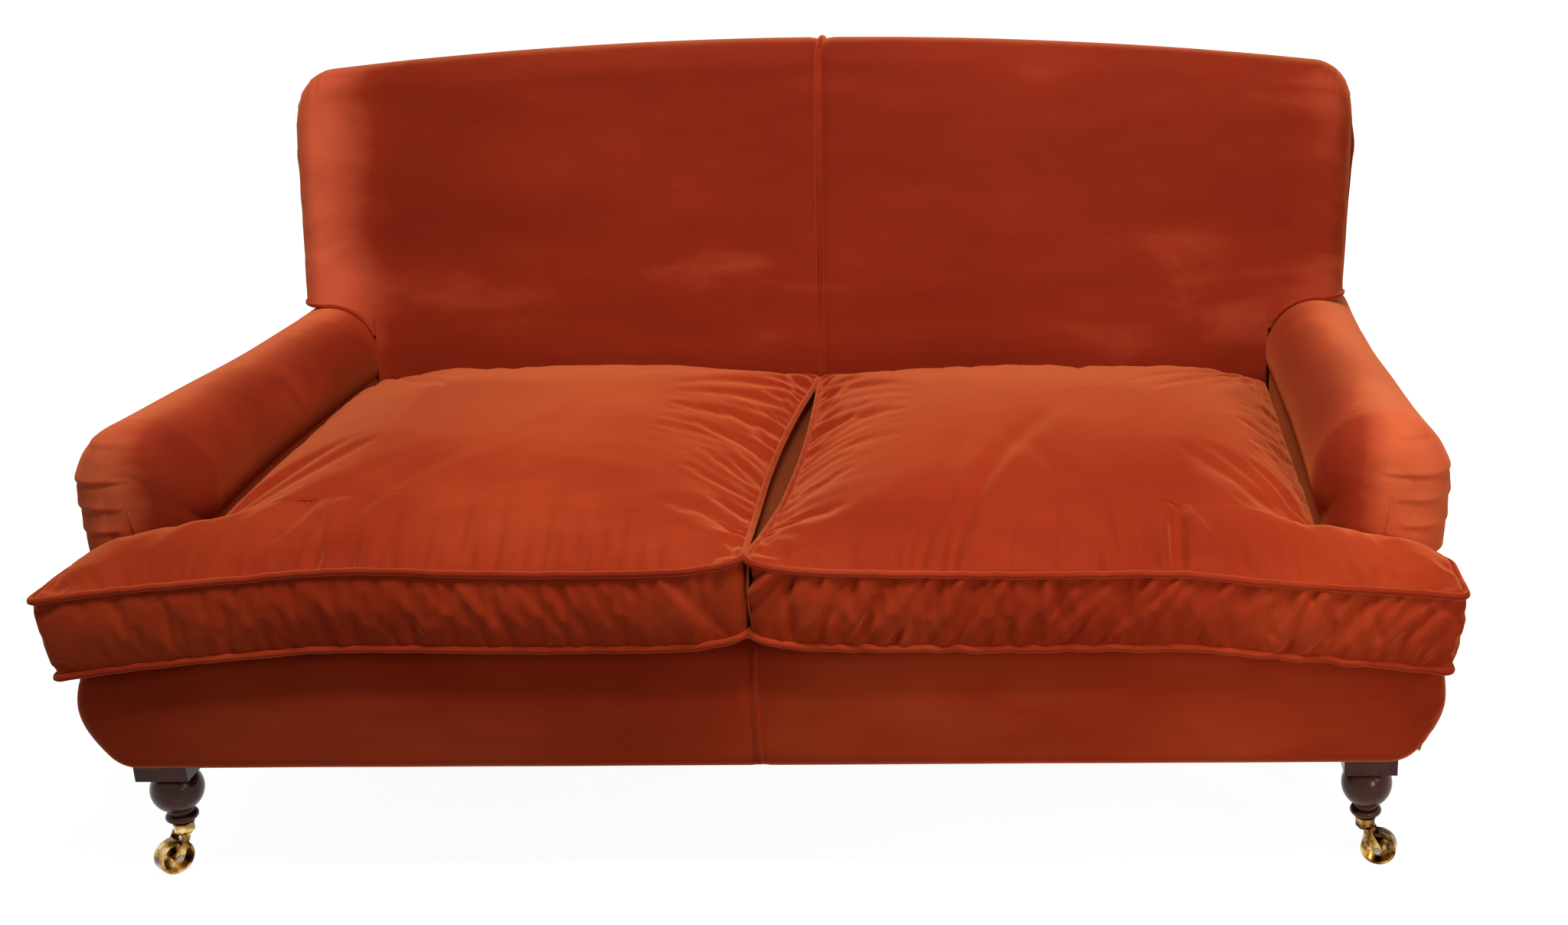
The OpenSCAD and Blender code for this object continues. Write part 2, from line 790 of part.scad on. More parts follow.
module front_leg() {
    bead = 5;
    cove_r = 15;
    block_z = rail_z - leg_block_h;
    color(dark_wood)
        difference() {
            union() {
                translate([leg_x - leg_block / 2, leg_y - leg_block / 2, block_z])
                    cube([leg_block, leg_block, leg_block_h]);
                translate([leg_x, leg_y, 0])
                    rotate_extrude($fn = 64)
                        intersection() {
                            translate([0, cup_z + cup_t])
                                square([ball_r + 1, block_z - cup_z - cup_t + tuck]);
                            union() {
                                translate([0, ball_z]) circle(ball_r, $fn = 96);
                                square([cove_r, ball_z]);
                                translate([0, ball_z]) square([cove_r + bead, block_z + 1 - ball_z]);
                                translate([ring_r - bead, ring_z]) circle(bead);
                                translate([0, ring_z - bead]) square([ring_r - bead, 2 * bead]);
                            }
                        }
            }
            translate([leg_x, leg_y, rail_z - bolt_half_l])
                cylinder(h = bolt_half_l + 1, r = bolt_r + running_fit);
            translate([leg_x, leg_y, cup_z]) neck_waste(cove_r);
        }
}

// What the turner takes away so that the neck tapers into the socket
module neck_waste(outer) {
    top = ring_z - 5 - cup_z;
    shoulder = cup_t + cup_grip;
    difference() {
        cylinder(h = top, r = outer + 20);
        translate([0, 0, -1]) cylinder(h = shoulder + 1, r = neck_r);
        translate([0, 0, shoulder]) cylinder(h = top - shoulder + 1, r1 = neck_r, r2 = outer - 1);
    }
}

module leg_bolts() {
    color(steel)
        for (side = [-1, 1])
            translate([side * leg_x, leg_y, rail_z - bolt_half_l + 2])
                cylinder(h = 2 * bolt_half_l - 2, r = bolt_r);
}

// Castors, drawn with the swivel axis on Z and the wheel trailing towards +X

crown_z = cup_z - running_fit * 4 - crown_t;
crown_r = 9;
rivet_r = 5.5;
rivet_t = 1.4;
fork_gap = 1.2;

module at_castor(side, angle) {
    translate([side * leg_x, leg_y, 0]) rotate([0, 0, angle]) children();
}

module castor_cup(side) {
    color(brass)
        translate([side * leg_x, leg_y, cup_z])
            difference() {
                union() {
                    cylinder(h = cup_t + cup_grip, r = neck_r + running_fit + cup_t);
                    translate([0, 0, cup_t + cup_grip - cup_lip])
                        cylinder(h = cup_lip, r = neck_r + running_fit + cup_t + 1);
                }
                translate([0, 0, cup_t]) cylinder(h = cup_grip + 1, r = neck_r + running_fit);
                translate([0, 0, -1]) cylinder(h = cup_t + 2, r = king_pin_r + running_fit);
            }
}

module king_pin(side) {
    color(steel)
        translate([side * leg_x, leg_y, 0]) {
            translate([0, 0, crown_z - seat_gap]) cylinder(h = cup_z + cup_t - crown_z + seat_gap, r = king_pin_r);
            translate([0, 0, crown_z - seat_gap - rivet_t]) cylinder(h = rivet_t, r = rivet_r);
        }
}

module castor_fork(side, angle) {
    arm_y = wheel_w / 2 + fork_gap;
    color(brass)
        at_castor(side, angle)
            difference() {
                union() {
                    translate([0, 0, crown_z]) cylinder(h = crown_t, r = crown_r);
                    translate([0, -arm_y - fork_t, crown_z])
                        cube([crown_r, 2 * (arm_y + fork_t), crown_t]);
                    for (y = [-arm_y, arm_y + fork_t])
                        translate([0, y, 0])
                            rotate([90, 0, 0])
                                linear_extrude(fork_t)
                                    fork_arm();
                }
                translate([0, 0, crown_z - 1]) cylinder(h = crown_t + 2, r = king_pin_r + running_fit);
                translate([castor_trail, wheel_w, wheel_r])
                    rotate([90, 0, 0])
                        cylinder(h = 2 * wheel_w, r = axle_r + running_fit);
            }
}

// Side view of a fork arm: broad at the crown, tapering down to a rounded eye at the axle
module fork_arm() {
    hull() {
        translate([0, crown_z]) square([crown_r, crown_t]);
        translate([castor_trail, wheel_r]) circle(axle_r + 3.5);
    }
}

module castor_axle(side, angle) {
    reach = wheel_w / 2 + fork_gap + fork_t;
    color(steel)
        at_castor(side, angle)
            translate([castor_trail, 0, wheel_r])
                rotate([90, 0, 0]) {
                    translate([0, 0, -reach]) cylinder(h = 2 * reach, r = axle_r);
                    for (z = [-reach - rivet_t, reach])
                        translate([0, 0, z]) cylinder(h = rivet_t, r = axle_r + 1.6);
                }
}

// A dished wheel: a broad rounded rim on a thin web, with a long hub
module castor_wheel(side, angle) {
    rim_t = 4;
    hub_r = axle_r + 3;
    half = wheel_w / 2;
    color(brass)
        at_castor(side, angle)
            translate([castor_trail, 0, wheel_r])
                rotate([90, 0, 0])
                    rotate_extrude($fn = 96)
                        difference() {
                            union() {
                                translate([axle_r + running_fit, -half]) square([hub_r - axle_r, 2 * half]);
                                translate([axle_r + running_fit, -1.5]) square([wheel_r - rim_t - axle_r, 3]);
                                translate([wheel_r - rim_t, -half + 2]) square([rim_t, 2 * half - 4]);
                                translate([wheel_r - rim_t, -half]) square([rim_t - 2, 2 * half]);
                                for (y = [-half + 2, half - 2]) translate([wheel_r - 2, y]) circle(2);
                            }
                            translate([-1, -half - 1]) square([axle_r + running_fit + 1, 2 * half + 2]);
                        }
}

// Seat cushions, drawn for the right-hand side

inner_x = cushion_gap / 2;
ear_back_y = arm_front_y - side_gap;
ear_turn = 26;
cushion_rear_y = back_y - side_gap;

// Outer edge of the cushion at a depth: the ear in front of the arm, then the arm's inner face
function outer_x(y) =
    mix(cushion_front_x, wall_x(y) - side_gap, ease((y - (ear_back_y - ear_turn)) / ear_turn));

cushion_rows = concat(
    [for (t = [0, 0.35, 0.7, 1]) mix(front_y, ear_back_y - ear_turn, t)],
    [for (t = [0.25, 0.5, 0.75, 1]) mix(ear_back_y - ear_turn, ear_back_y, t)],
    [for (t = [1:8]) mix(ear_back_y, cushion_rear_y, t / 8)]
);
cushion_columns = [0, 0.03, 0.1, 0.2, 0.32, 0.45, 0.58, 0.7, 0.82, 0.92, 0.975, 1];

// Plan position of a point of the cushion, its sides drawn in between the corners
function cushion_xy(u, y) =
    let (v = (y - front_y) / (cushion_rear_y - front_y), pull = drawn_in * sin(180 * v))
    let (x0 = inner_x + pull * (1 - 0.4 * v), x1 = outer_x(y) - (y > ear_back_y ? 0.4 * pull : 0))
    let (x = mix(x0, x1, u))
    [x, y + (v < 0.5 ? 1 : -1) * drawn_in * 0.6 * sin(180 * u) * pow(abs(2 * v - 1), 6)];

function lower_seam_z(x, y) =
    let (near_front = 1 - clamp01((y - front_y) / 200))
    under_z(x) + seam_lift + corner_lift * near_front * exp(-(abs(x) - inner_x) / 45);

function upper_seam_z(x, y) =
    lower_seam_z(x, y) + border_h + seam_rise * ease((y - front_y) / (cushion_rear_y - front_y));

// How far the underside and the lower seam are drawn in towards the ear
function ear_pull(x) = ear_tuck * pow(clamp01((x - ear_start_x) / ear_l), 3);

// Crown over the upper seam: steep at the seams, broad in the middle
function crown_rise(u, v) =
    crown_h * pow(1 - pow(abs(2 * u - 1), 2.8), 0.62) * pow(1 - pow(abs(2 * v - 1), 2.8), 0.7);

// Steps down the border: outward offset and height between the lower seam (0) and the upper seam (1)
border_steps = [
    [-1.5, 1, piping_r], [piping_r, 1, 0], [0, 1, -piping_r], [2.5, 0.5, 0],
    [0, 0, piping_r], [piping_r, 0, 0], [-1.5, 0, -piping_r]
];

module seat_cushion() {
    nu = len(cushion_columns);
    nv = len(cushion_rows);
    // Grid positions once round the edge, in order
    edge = concat(
        [for (i = [0:nu - 2]) [i, 0]],
        [for (j = [0:nv - 2]) [nu - 1, j]],
        [for (i = [nu - 1:-1:1]) [i, nv - 1]],
        [for (j = [nv - 1:-1:1]) [0, j]]
    );
    n = len(edge);
    function at(i, j) = cushion_xy(cushion_columns[i], cushion_rows[j]);
    function edge_point(k) = let (e = edge[(k + n) % n]) at(e[0], e[1]);
    // Outward normal in plan at an edge point, from its neighbours
    function outward(k) =
        let (d = edge_point(k + 1) - edge_point(k - 1)) [d[1], -d[0]] / norm(d);
    walls = [
        for (s = border_steps) [
            for (k = [0:n - 1])
                let (p = edge_point(k), q = p + outward(k) * (s[0] - piping_r))
                let (z0 = lower_seam_z(p[0], p[1]), z1 = upper_seam_z(p[0], p[1]))
                    [q[0] - ear_pull(p[0]) * (1 - s[1]), q[1], mix(z0, z1, s[1]) + s[2]]
        ]
    ];
    v_of = function(j) (cushion_rows[j] - front_y) / (cushion_rear_y - front_y);
    tops = [
        for (j = [1:nv - 2], i = [1:nu - 2])
            let (p = at(i, j), x = p[0])
                [x, p[1], upper_seam_z(x, p[1]) + piping_r + crown_rise(cushion_columns[i], v_of(j))]
    ];
    flats = [
        for (j = [1:nv - 2], i = [1:nu - 2])
            let (p = at(i, j)) [p[0] - ear_pull(p[0]), p[1], under_z(p[0])]
    ];
    ring_count = len(border_steps);
    top_start = ring_count * n;
    flat_start = top_start + len(tops);
    // Index of a grid point: on the given wall ring at the edge, inside the sheet otherwise
    function edge_index(i, j) =
        j == 0 ? i
        : i == nu - 1 ? nu - 1 + j
        : j == nv - 1 ? nu - 1 + nv - 1 + (nu - 1 - i)
        : 2 * (nu - 1) + nv - 1 + (nv - 1 - j);
    function index(i, j, ring, start) =
        i == 0 || j == 0 || i == nu - 1 || j == nv - 1
            ? ring * n + (edge_index(i, j) % n)
            : start + (j - 1) * (nu - 2) + i - 1;
    sheet = function(ring, start, flip) [
        for (j = [0:nv - 2], i = [0:nu - 2])
            let (a = index(i, j, ring, start), b = index(i + 1, j, ring, start))
            let (c = index(i + 1, j + 1, ring, start), d = index(i, j + 1, ring, start))
                each flip ? [[a, c, b], [a, d, c]] : [[a, b, c], [a, c, d]]
    ];
    band = [
        for (s = [0:ring_count - 2], k = [0:n - 1])
            let (a = s * n + k, b = s * n + (k + 1) % n)
                each [[a, b, b + n], [a, b + n, a + n]]
    ];
    color(velvet)
        polyhedron(
            points = concat([for (w = walls) each w], tops, flats),
            faces = concat(band, sheet(0, top_start, true), sheet(ring_count - 1, flat_start, false))
        );
}

front_seat_rail();
rear_seat_rail();
left_side() side_rail();  // left_side_rail
side_rail();  // right_side_rail
left_side() cross_rail();  // left_cross_rail
cross_rail();  // right_cross_rail
corner_blocks();
left_side() back_post();  // left_back_post
back_post();  // right_back_post
back_top_rail();
back_lower_rail();
back_centre_post();
left_side() arm_post();  // left_arm_post
arm_post();  // right_arm_post
left_side() arm_rail();  // left_arm_rail
arm_rail();  // right_arm_rail
left_side() tack_rail();  // left_tack_rail
tack_rail();  // right_tack_rail
seat_webbing();
seat_springs();
seat_hessian();
seat_deck();
back_webbing();
back_pad();
outside_back();
left_side() arm_pad();  // left_arm_pad
arm_pad();  // right_arm_pad
left_side() outside_arm();  // left_outside_arm
outside_arm();  // right_outside_arm
front_border();
dust_cover();
left_side() front_leg();  // left_front_leg
front_leg();  // right_front_leg
leg_bolts();
castor_cup(-1);  // left_castor_cup
castor_cup(1);  // right_castor_cup
king_pin(-1);  // left_king_pin
king_pin(1);  // right_king_pin
castor_fork(-1, left_trail_angle);  // left_castor_fork
castor_fork(1, right_trail_angle);  // right_castor_fork
castor_axle(-1, left_trail_angle);  // left_castor_axle
castor_axle(1, right_trail_angle);  // right_castor_axle
castor_wheel(-1, left_trail_angle);  // left_castor_wheel
castor_wheel(1, right_trail_angle);  // right_castor_wheel
left_side() seat_cushion();  // left_seat_cushion
seat_cushion();  // right_seat_cushion
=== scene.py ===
import json
import math

import bmesh
import bpy
import numpy as np
from mathutils import Matrix, Vector


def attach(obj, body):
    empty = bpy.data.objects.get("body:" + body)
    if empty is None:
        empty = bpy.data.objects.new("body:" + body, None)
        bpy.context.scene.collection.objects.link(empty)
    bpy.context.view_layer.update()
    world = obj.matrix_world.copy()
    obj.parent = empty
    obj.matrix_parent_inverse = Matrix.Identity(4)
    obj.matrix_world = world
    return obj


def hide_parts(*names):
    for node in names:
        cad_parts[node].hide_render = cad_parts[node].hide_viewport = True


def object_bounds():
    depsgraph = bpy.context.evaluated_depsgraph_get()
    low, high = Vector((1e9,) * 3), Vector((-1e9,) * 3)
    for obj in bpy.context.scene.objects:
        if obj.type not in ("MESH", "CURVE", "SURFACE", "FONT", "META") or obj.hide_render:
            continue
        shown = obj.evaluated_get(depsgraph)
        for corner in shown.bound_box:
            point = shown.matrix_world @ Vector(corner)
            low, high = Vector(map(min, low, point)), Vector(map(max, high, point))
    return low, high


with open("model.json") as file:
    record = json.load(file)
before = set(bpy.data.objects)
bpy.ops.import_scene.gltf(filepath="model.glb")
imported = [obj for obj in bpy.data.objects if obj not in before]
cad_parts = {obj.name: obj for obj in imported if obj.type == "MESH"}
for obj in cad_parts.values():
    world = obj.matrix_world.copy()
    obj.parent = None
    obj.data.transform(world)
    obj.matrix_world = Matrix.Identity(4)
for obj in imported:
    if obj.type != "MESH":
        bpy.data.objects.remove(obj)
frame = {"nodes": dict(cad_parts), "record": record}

# Roll-arm sofa in orange velvet: two loose seat cushions, arched tight back,
# turned front legs on brass castors
# Metres, +X to the right as seen from the front, -Y to the front, +Z up

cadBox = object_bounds()
scene = bpy.context.scene

# Sizes that several pieces share
sofa = {
    "frontY": cadBox[0].y,      # fronts of the cushions
    "rearY": cadBox[1].y,       # rear of the back
    "seatDepth": 0.690,         # cushion fronts to the back
    "frameX": 0.800,            # half width of the seat frame at the front of its back posts
    "postDepth": 0.042,
    "splay": 0.051,             # how far the arms spread for each metre forwards
    "undersideZ": 0.165,
    "deckZ": 0.336,             # platform under the hollow of the seat
    "pipingRadius": 0.0045,
}
backY = sofa["frontY"] + sofa["seatDepth"]
sides = {"left": -1, "right": 1}


# Small maths helpers

# The value a share t of the way from a to b
def mix(a, b, t):
    return a + (b - a) * t


# A smooth step from 0 to 1: 3 t^2 - 2 t^3
def ease(t):
    k = np.clip(t, 0, 1)
    return k * k * (3 - 2 * k)


# A bell curve: e to the power of -t^2
def bell(t):
    return np.exp(-t ** 2)


# Vectors brought to length 1
def unit(vectors):
    return vectors / np.maximum(np.linalg.norm(vectors, axis=-1, keepdims=True), 1e-12)


# How far a round edge of this radius stands back at a distance from the edge: r - sqrt(r^2 - (r - edge)^2)
def rounding(edge, radius):
    into = np.maximum(radius - edge, 0)
    return radius - np.sqrt(np.maximum(radius ** 2 - into ** 2, 0))


# Smooth repeatable unevenness: a sum of sine waves whose directions and phases come from a seeded draw
def ripples(points, scale, seed, waves=14):
    draw = np.random.default_rng(seed)
    directions = unit(draw.normal(size=(waves, 3)))
    rates = draw.uniform(0.6, 1.8, waves) * 2 * math.pi / scale
    phases = draw.uniform(0, 2 * math.pi, waves)
    return np.sin(np.tensordot(points, (directions * rates[:, None]).T, 1) + phases).mean(-1) * 2


fold = {
    "fanOut": 0.6,              # how much a crease widens over its length
    "bend": 0.25,               # most that it bends aside, as a share of its length
    "seamEdge": 0.005,          # it sets in over this distance from the seam
    "ridgeAway": 1.4, "ridgeWidth": 1.3, "ridgeHeight": 0.55,   # in widths and depths of the crease
}


# A row of creases: how many, where they start along the seam, then the least and most of each one's length,
# width, depth and lean; lean is how far it moves along the seam for each metre away from it
def creaseRow(count, span, length, width, depth, lean):
    return {"count": count, "span": span, "ranges": (length, width, depth, lean)}


# Folds that start at a seam, as heights to add: s runs along the seam and d away from it
# Each is a crease, minus a bell curve, with a softer ridge beside it; it starts at the seam,
# leans and bends as it goes, and dies out over its own length
def folds(s, d, look, seed):
    draw = np.random.default_rng(seed)
    start, end = look["span"]
    count = look["count"]
    places = np.linspace(start, end, count) + draw.uniform(-0.5, 0.5, count) * (end - start) / count
    height = np.zeros(np.broadcast(s, d).shape)
    for place in places:
        length, width, depth, lean = (draw.uniform(*ends) for ends in look["ranges"])
        bend = draw.uniform(-fold["bend"], fold["bend"]) * d ** 2 / length
        across = (s - place - lean * d - bend) / (width * (1 + fold["fanOut"] * d / length))
        away = across - fold["ridgeAway"] * draw.choice([-1, 1])
        reach = (1 - np.exp(-d / fold["seamEdge"])) * bell(d / length)
        height += depth * reach * (fold["ridgeHeight"] * bell(away / fold["ridgeWidth"]) - bell(across))
    return height


# Meshes

# Quads over a grid of points numbered row by row
def gridQuads(rows, columns):
    row = np.arange(rows - 1)[:, None]
    column = np.arange(columns - 1)[None, :]
    a = row * columns + column
    return np.stack([a, a + 1, a + columns + 1, a + columns], -1).reshape(-1, 4)


# Outward unit normals of a grid: its direction across times its direction up
def gridNormals(grid):
    return unit(np.cross(np.gradient(grid, axis=1), np.gradient(grid, axis=0)))


# The points of several grids in one array, and each grid's quads numbered within it
def joinGrids(grids):
    points, quads, start = [], [], 0
    for grid in grids:
        rows, columns = grid.shape[:2]
        points.append(grid.reshape(-1, 3))
        quads.append(gridQuads(rows, columns) + start)
        start += rows * columns
    return np.concatenate(points), quads


# A new object that holds this data, linked into the scene
def addObject(name, data):
    made = bpy.data.objects.new(name, data)
    scene.collection.objects.link(made)
    return made


# One piece from several grids of points (rows, columns, 3), whose shared edges are welded
# Each grid's faces take the material number given for it
def makePiece(name, grids, numbers=(), weld=2e-5):
    points, quads = joinGrids(grids)
    mesh = bpy.data.meshes.new(name)
    mesh.from_pydata(points, [], np.concatenate(quads))
    if numbers:
        mesh.polygons.foreach_set("material_index", np.repeat(numbers, [len(part) for part in quads]))
    work = bmesh.new()
    work.from_mesh(mesh)
    bmesh.ops.remove_doubles(work, verts=work.verts, dist=weld)
    bmesh.ops.dissolve_degenerate(work, edges=work.edges, dist=weld)
    bmesh.ops.recalc_face_normals(work, faces=work.faces)
    work.to_mesh(mesh)
    work.free()
    mesh.shade_smooth()
    return addObject(name, mesh)


# A round tube along a path; outward gives a direction across the path at each point
def tubeGrid(path, outward, radius, turns=10, closed=False):
    if closed:
        tangent = unit(np.roll(path, -1, 0) - np.roll(path, 1, 0))
    else:
        tangent = unit(np.gradient(path, axis=0))
    across = unit(outward - (outward * tangent).sum(-1, keepdims=True) * tangent)
    other = np.cross(tangent, across)
    angle = np.linspace(0, 2 * math.pi, turns + 1)[None, :, None]
    grid = path[:, None] + radius * (np.cos(angle) * across[:, None] + np.sin(angle) * other[:, None])
    if closed:
        return [np.concatenate([grid, grid[:1]])]
    ends = [np.repeat(path[i][None, None], turns + 1, 1) for i in (0, -1)]
    return [np.concatenate([ends[0], grid, ends[1]])]


# Points at the given shares of a path's length
def alongPath(path, shares):
    step = np.linalg.norm(np.diff(path, axis=0), axis=1)
    length = np.concatenate([[0], np.cumsum(step)])
    at = np.asarray(shares) * length[-1]
    return np.stack([np.interp(at, length, path[:, k]) for k in range(path.shape[1])], -1)


# Grids worked out for the right-hand side, as they are or turned over to the left
def mirrored(grids, side):
    return [grid * np.array([side, 1, 1]) for grid in grids]


# A panel's face and rear with the four edges between them
def closedPanel(face, rear):
    edges = [np.stack([face[k], rear[k]]) for k in (0, -1)]
    ends = [np.stack([face[:, k], rear[:, k]]) for k in (0, -1)]
    return [face, rear] + edges + ends


# A grid with a point added between each two: the mean of the two nearest, times 9, less the next two, over 16
def refined(grid):
    for _ in range(2):
        far = np.concatenate([grid[:1], grid, grid[-1:]])
        middle = (9 * (grid[:-1] + grid[1:]) - far[:-3] - far[3:]) / 16
        finer = np.empty((2 * len(grid) - 1, *grid.shape[1:]))
        finer[::2], finer[1::2] = grid, middle
        grid = np.swapaxes(finer, 0, 1)
    return grid


cloth = {
    "pressure": 4.0, "frames": 20, "quality": 5, "stiffness": 12.0, "bending": 0.6,
    "cap": 0.022,               # most that a point may move
    "levels": 10,               # steps between 0 and 1 in the weights
}


# Blows up a cover made of grids with Cloth and returns the grids as they settle
# hold is 1 where the cover is sewn down; full is how far, from 0 to 1, it is cut larger than its frame
def inflate(grids, hold, full, shrink):
    points, quads = joinGrids(grids)
    _, first, number = np.unique(np.round(points, 6), axis=0, return_index=True, return_inverse=True)
    number = number.reshape(-1)
    start = points[first]
    mesh = bpy.data.meshes.new("blank")
    mesh.from_pydata(start, [], number[np.concatenate(quads)])
    blank = addObject("blank", mesh)
    for label, values in (("hold", hold), ("full", full)):
        group = blank.vertex_groups.new(name=label)
        share = np.concatenate([v.reshape(-1) for v in values])[first]
        weights = np.round(share * cloth["levels"]).astype(int)
        for level in range(cloth["levels"] + 1):
            group.add(np.nonzero(weights == level)[0].tolist(), level / cloth["levels"], "REPLACE")
    made = blank.modifiers.new("cloth", "CLOTH")
    made.point_cache.frame_end = cloth["frames"]
    setting = made.settings
    setting.quality = cloth["quality"]
    setting.tension_stiffness = setting.compression_stiffness = cloth["stiffness"]
    setting.bending_stiffness = cloth["bending"]
    setting.use_pressure = True
    setting.uniform_pressure_force = cloth["pressure"]
    setting.effector_weights.gravity = 0
    setting.vertex_group_mass = "hold"
    setting.vertex_group_shrink = "full"
    setting.shrink_min, setting.shrink_max = shrink
    for step in range(1, cloth["frames"] + 1):
        scene.frame_set(step)
    settled = np.empty(len(start) * 3)
    blank.evaluated_get(bpy.context.evaluated_depsgraph_get()).data.vertices.foreach_get("co", settled)
    move = settled.reshape(-1, 3) - start
    size = np.linalg.norm(move, axis=-1, keepdims=True)
    move *= np.minimum(1, cloth["cap"] / np.maximum(size, 1e-9))
    scene.frame_set(1)
    bpy.data.objects.remove(blank)
    print("cloth moved", round(float(size.mean()) * 1000, 1), "mm on average,",
          round(float(size.max()) * 1000, 1), "at most")
    result = (start + move)[number]
    shaped, at = [], 0
    for grid in grids:
        count = grid.shape[0] * grid.shape[1]
        shaped.append(result[at:at + count].reshape(grid.shape))
        at += count
    return shaped


# Shader nodes written as expressions
class Wire:
    def __init__(self, shader, socket):
        self.shader, self.socket = shader, socket

    def math(self, operation, other=0.0, swap=False):
        first, second = (other, self) if swap else (self, other)
        return self.shader.node("ShaderNodeMath", {"operation": operation}, {0: first, 1: second})

    def __add__(self, other):
        return self.math("ADD", other)

    def __sub__(self, other):
        return self.math("SUBTRACT", other)

    def __mul__(self, other):
        return self.math("MULTIPLY", other)

    def __rsub__(self, other):
        return self.math("SUBTRACT", other, True)

    __radd__, __rmul__ = __add__, __mul__


class Shader:
    def __init__(self, name):
        self.material = bpy.data.materials.new(name)
        self.material.use_nodes = True
        self.tree = self.material.node_tree
        self.surface = self.tree.nodes["Principled BSDF"]

    # Adds a node of a type, with its settings first, then the values or links of its sockets
    def node(self, kind, settings=None, sockets=None, output=0):
        made = self.tree.nodes.new(kind)
        for key, value in (settings or {}).items():
            if key == "stops":
                ramp = made.color_ramp
                while len(ramp.elements) < len(value):
                    ramp.elements.new(0.5)
                for element, (place, shade) in zip(ramp.elements, value):
                    element.position = place
                    element.color = (*shade, 1)
            else:
                setattr(made, key, value)
        for key, value in (sockets or {}).items():
            self.join(made.inputs[key], value)
        return Wire(self, made.outputs[output])

    def join(self, socket, value):
        if isinstance(value, Wire):
            self.tree.links.new(value.socket, socket)
        elif isinstance(value, tuple) and len(value) == 3 and socket.type == "RGBA":
            socket.default_value = (*value, 1)
        else:
            socket.default_value = value

    def set(self, **values):
        for key, value in values.items():
            self.join(self.surface.inputs[key.replace("_", " ")], value)
        return self.material

    # Object coordinates, stretched along each axis
    def place(self, scale=(1, 1, 1)):
        where = self.node("ShaderNodeTexCoord", output=3)
        return self.node("ShaderNodeMapping", {}, {"Vector": where, "Scale": scale})

    def noise(self, scale, detail=3.0, stretch=(1, 1, 1), roughness=0.5, distortion=0.0):
        return self.node("ShaderNodeTexNoise", {}, {
            "Vector": self.place(stretch), "Scale": scale, "Detail": detail,
            "Roughness": roughness, "Distortion": distortion})

    def ramp(self, factor, stops):
        return self.node("ShaderNodeValToRGB", {"stops": stops}, {"Fac": factor})

    def blend(self, factor, a, b, mode="MIX"):
        return self.node("ShaderNodeMix", {"data_type": "RGBA", "blend_type": mode},
                         {0: factor, 6: a, 7: b}, output=2)

    # 0 below the first value and 1 above the second
    def between(self, value, low, high):
        return self.node("ShaderNodeMapRange", {"interpolation_type": "SMOOTHSTEP"},
                         {"Value": value, "From Min": low, "From Max": high})

    def bump(self, height, strength, distance):
        return self.node("ShaderNodeBump", {}, {"Height": height, "Strength": strength, "Distance": distance})


# Colours are written as sRGB and made linear
def colour(red, green, blue):
    return tuple(c / 12.92 if c <= 0.04045 else ((c + 0.055) / 1.055) ** 2.4
                 for c in (red / 255, green / 255, blue / 255))


velvetLook = {
    "patchScale": 2.4, "patchShare": 0.7,           # broad brushed patches, turns per metre
    "streakScale": 16.0, "streakShare": 0.3,        # finer streaks
    "streakStretch": (0.35, 1, 1),
    "pileScale": 1100.0, "pileDark": 0.84,          # the pile itself, and how dark its gaps are
    "bump": 0.3, "bumpDepth": 0.0004, "roughness": 0.8, "specular": 0.12,
    "sheen": 0.5, "sheenRoughness": 0.45, "sheenTint": colour(255, 132, 70),
    # Painted sheen: how far the base colour turns towards a pale tint where the pile is seen aslant, the
    # Layer Weight at which that starts, and the tint
    "paintedSheen": 0.66, "paintedSheenFrom": 0.42, "paintedSheenTint": colour(244, 128, 80),      # pile seen aslant
}


# Cotton velvet: broad brushed patches, fine streaks across the pile, and a painted sheen, the base colour
# turning towards a pale tint where the surface is seen aslant
# An optional mask function gives painted highlight and painted shade to add to the level, and how strong the
# painted sheen is there
def velvetMaterial(name, deep, middle, pale, stretch=(1, 1, 1), paintedLightMask=None, stops=(0.32, 0.5, 0.7), paintedSheen=1.0,
                   sheen=velvetLook["sheen"]):
    look = velvetLook
    shader = Shader(name)
    paintedLevel, share = paintedLightMask(shader) if paintedLightMask else (0.0, paintedSheen)
    patches = shader.noise(look["patchScale"], 2.0, stretch, 0.5, 0.15)
    brushed = shader.noise(look["streakScale"], 5.0, look["streakStretch"], 0.6, 0.7)
    pile = shader.noise(look["pileScale"], 2.0)
    level = patches * look["patchShare"] + brushed * look["streakShare"] + paintedLevel
    shade = shader.ramp(level, list(zip(stops, (deep, middle, pale))))
    # Painted sheen: the base colour is blended towards the pale tint where the surface is seen aslant
    aslant = shader.node("ShaderNodeLayerWeight", {}, {"Blend": 0.5}, output=1)
    paintedSheenShare = shader.between(aslant, look["paintedSheenFrom"], 1.0) * share * look["paintedSheen"]
    shade = shader.blend(paintedSheenShare, shade, look["paintedSheenTint"])
    speckle = shader.ramp(pile, [(0.3, (look["pileDark"],) * 3), (0.7, (1.0, 1.0, 1.0))])
    return shader.set(
        Base_Color=shader.blend(1.0, shade, speckle, "MULTIPLY"), Roughness=look["roughness"],
        Sheen_Weight=sheen, Sheen_Roughness=look["sheenRoughness"], Sheen_Tint=(*look["sheenTint"], 1),
        Specular_IOR_Level=look["specular"],
        Normal=shader.bump(pile * 0.7 + brushed * 0.3, look["bump"], look["bumpDepth"]))


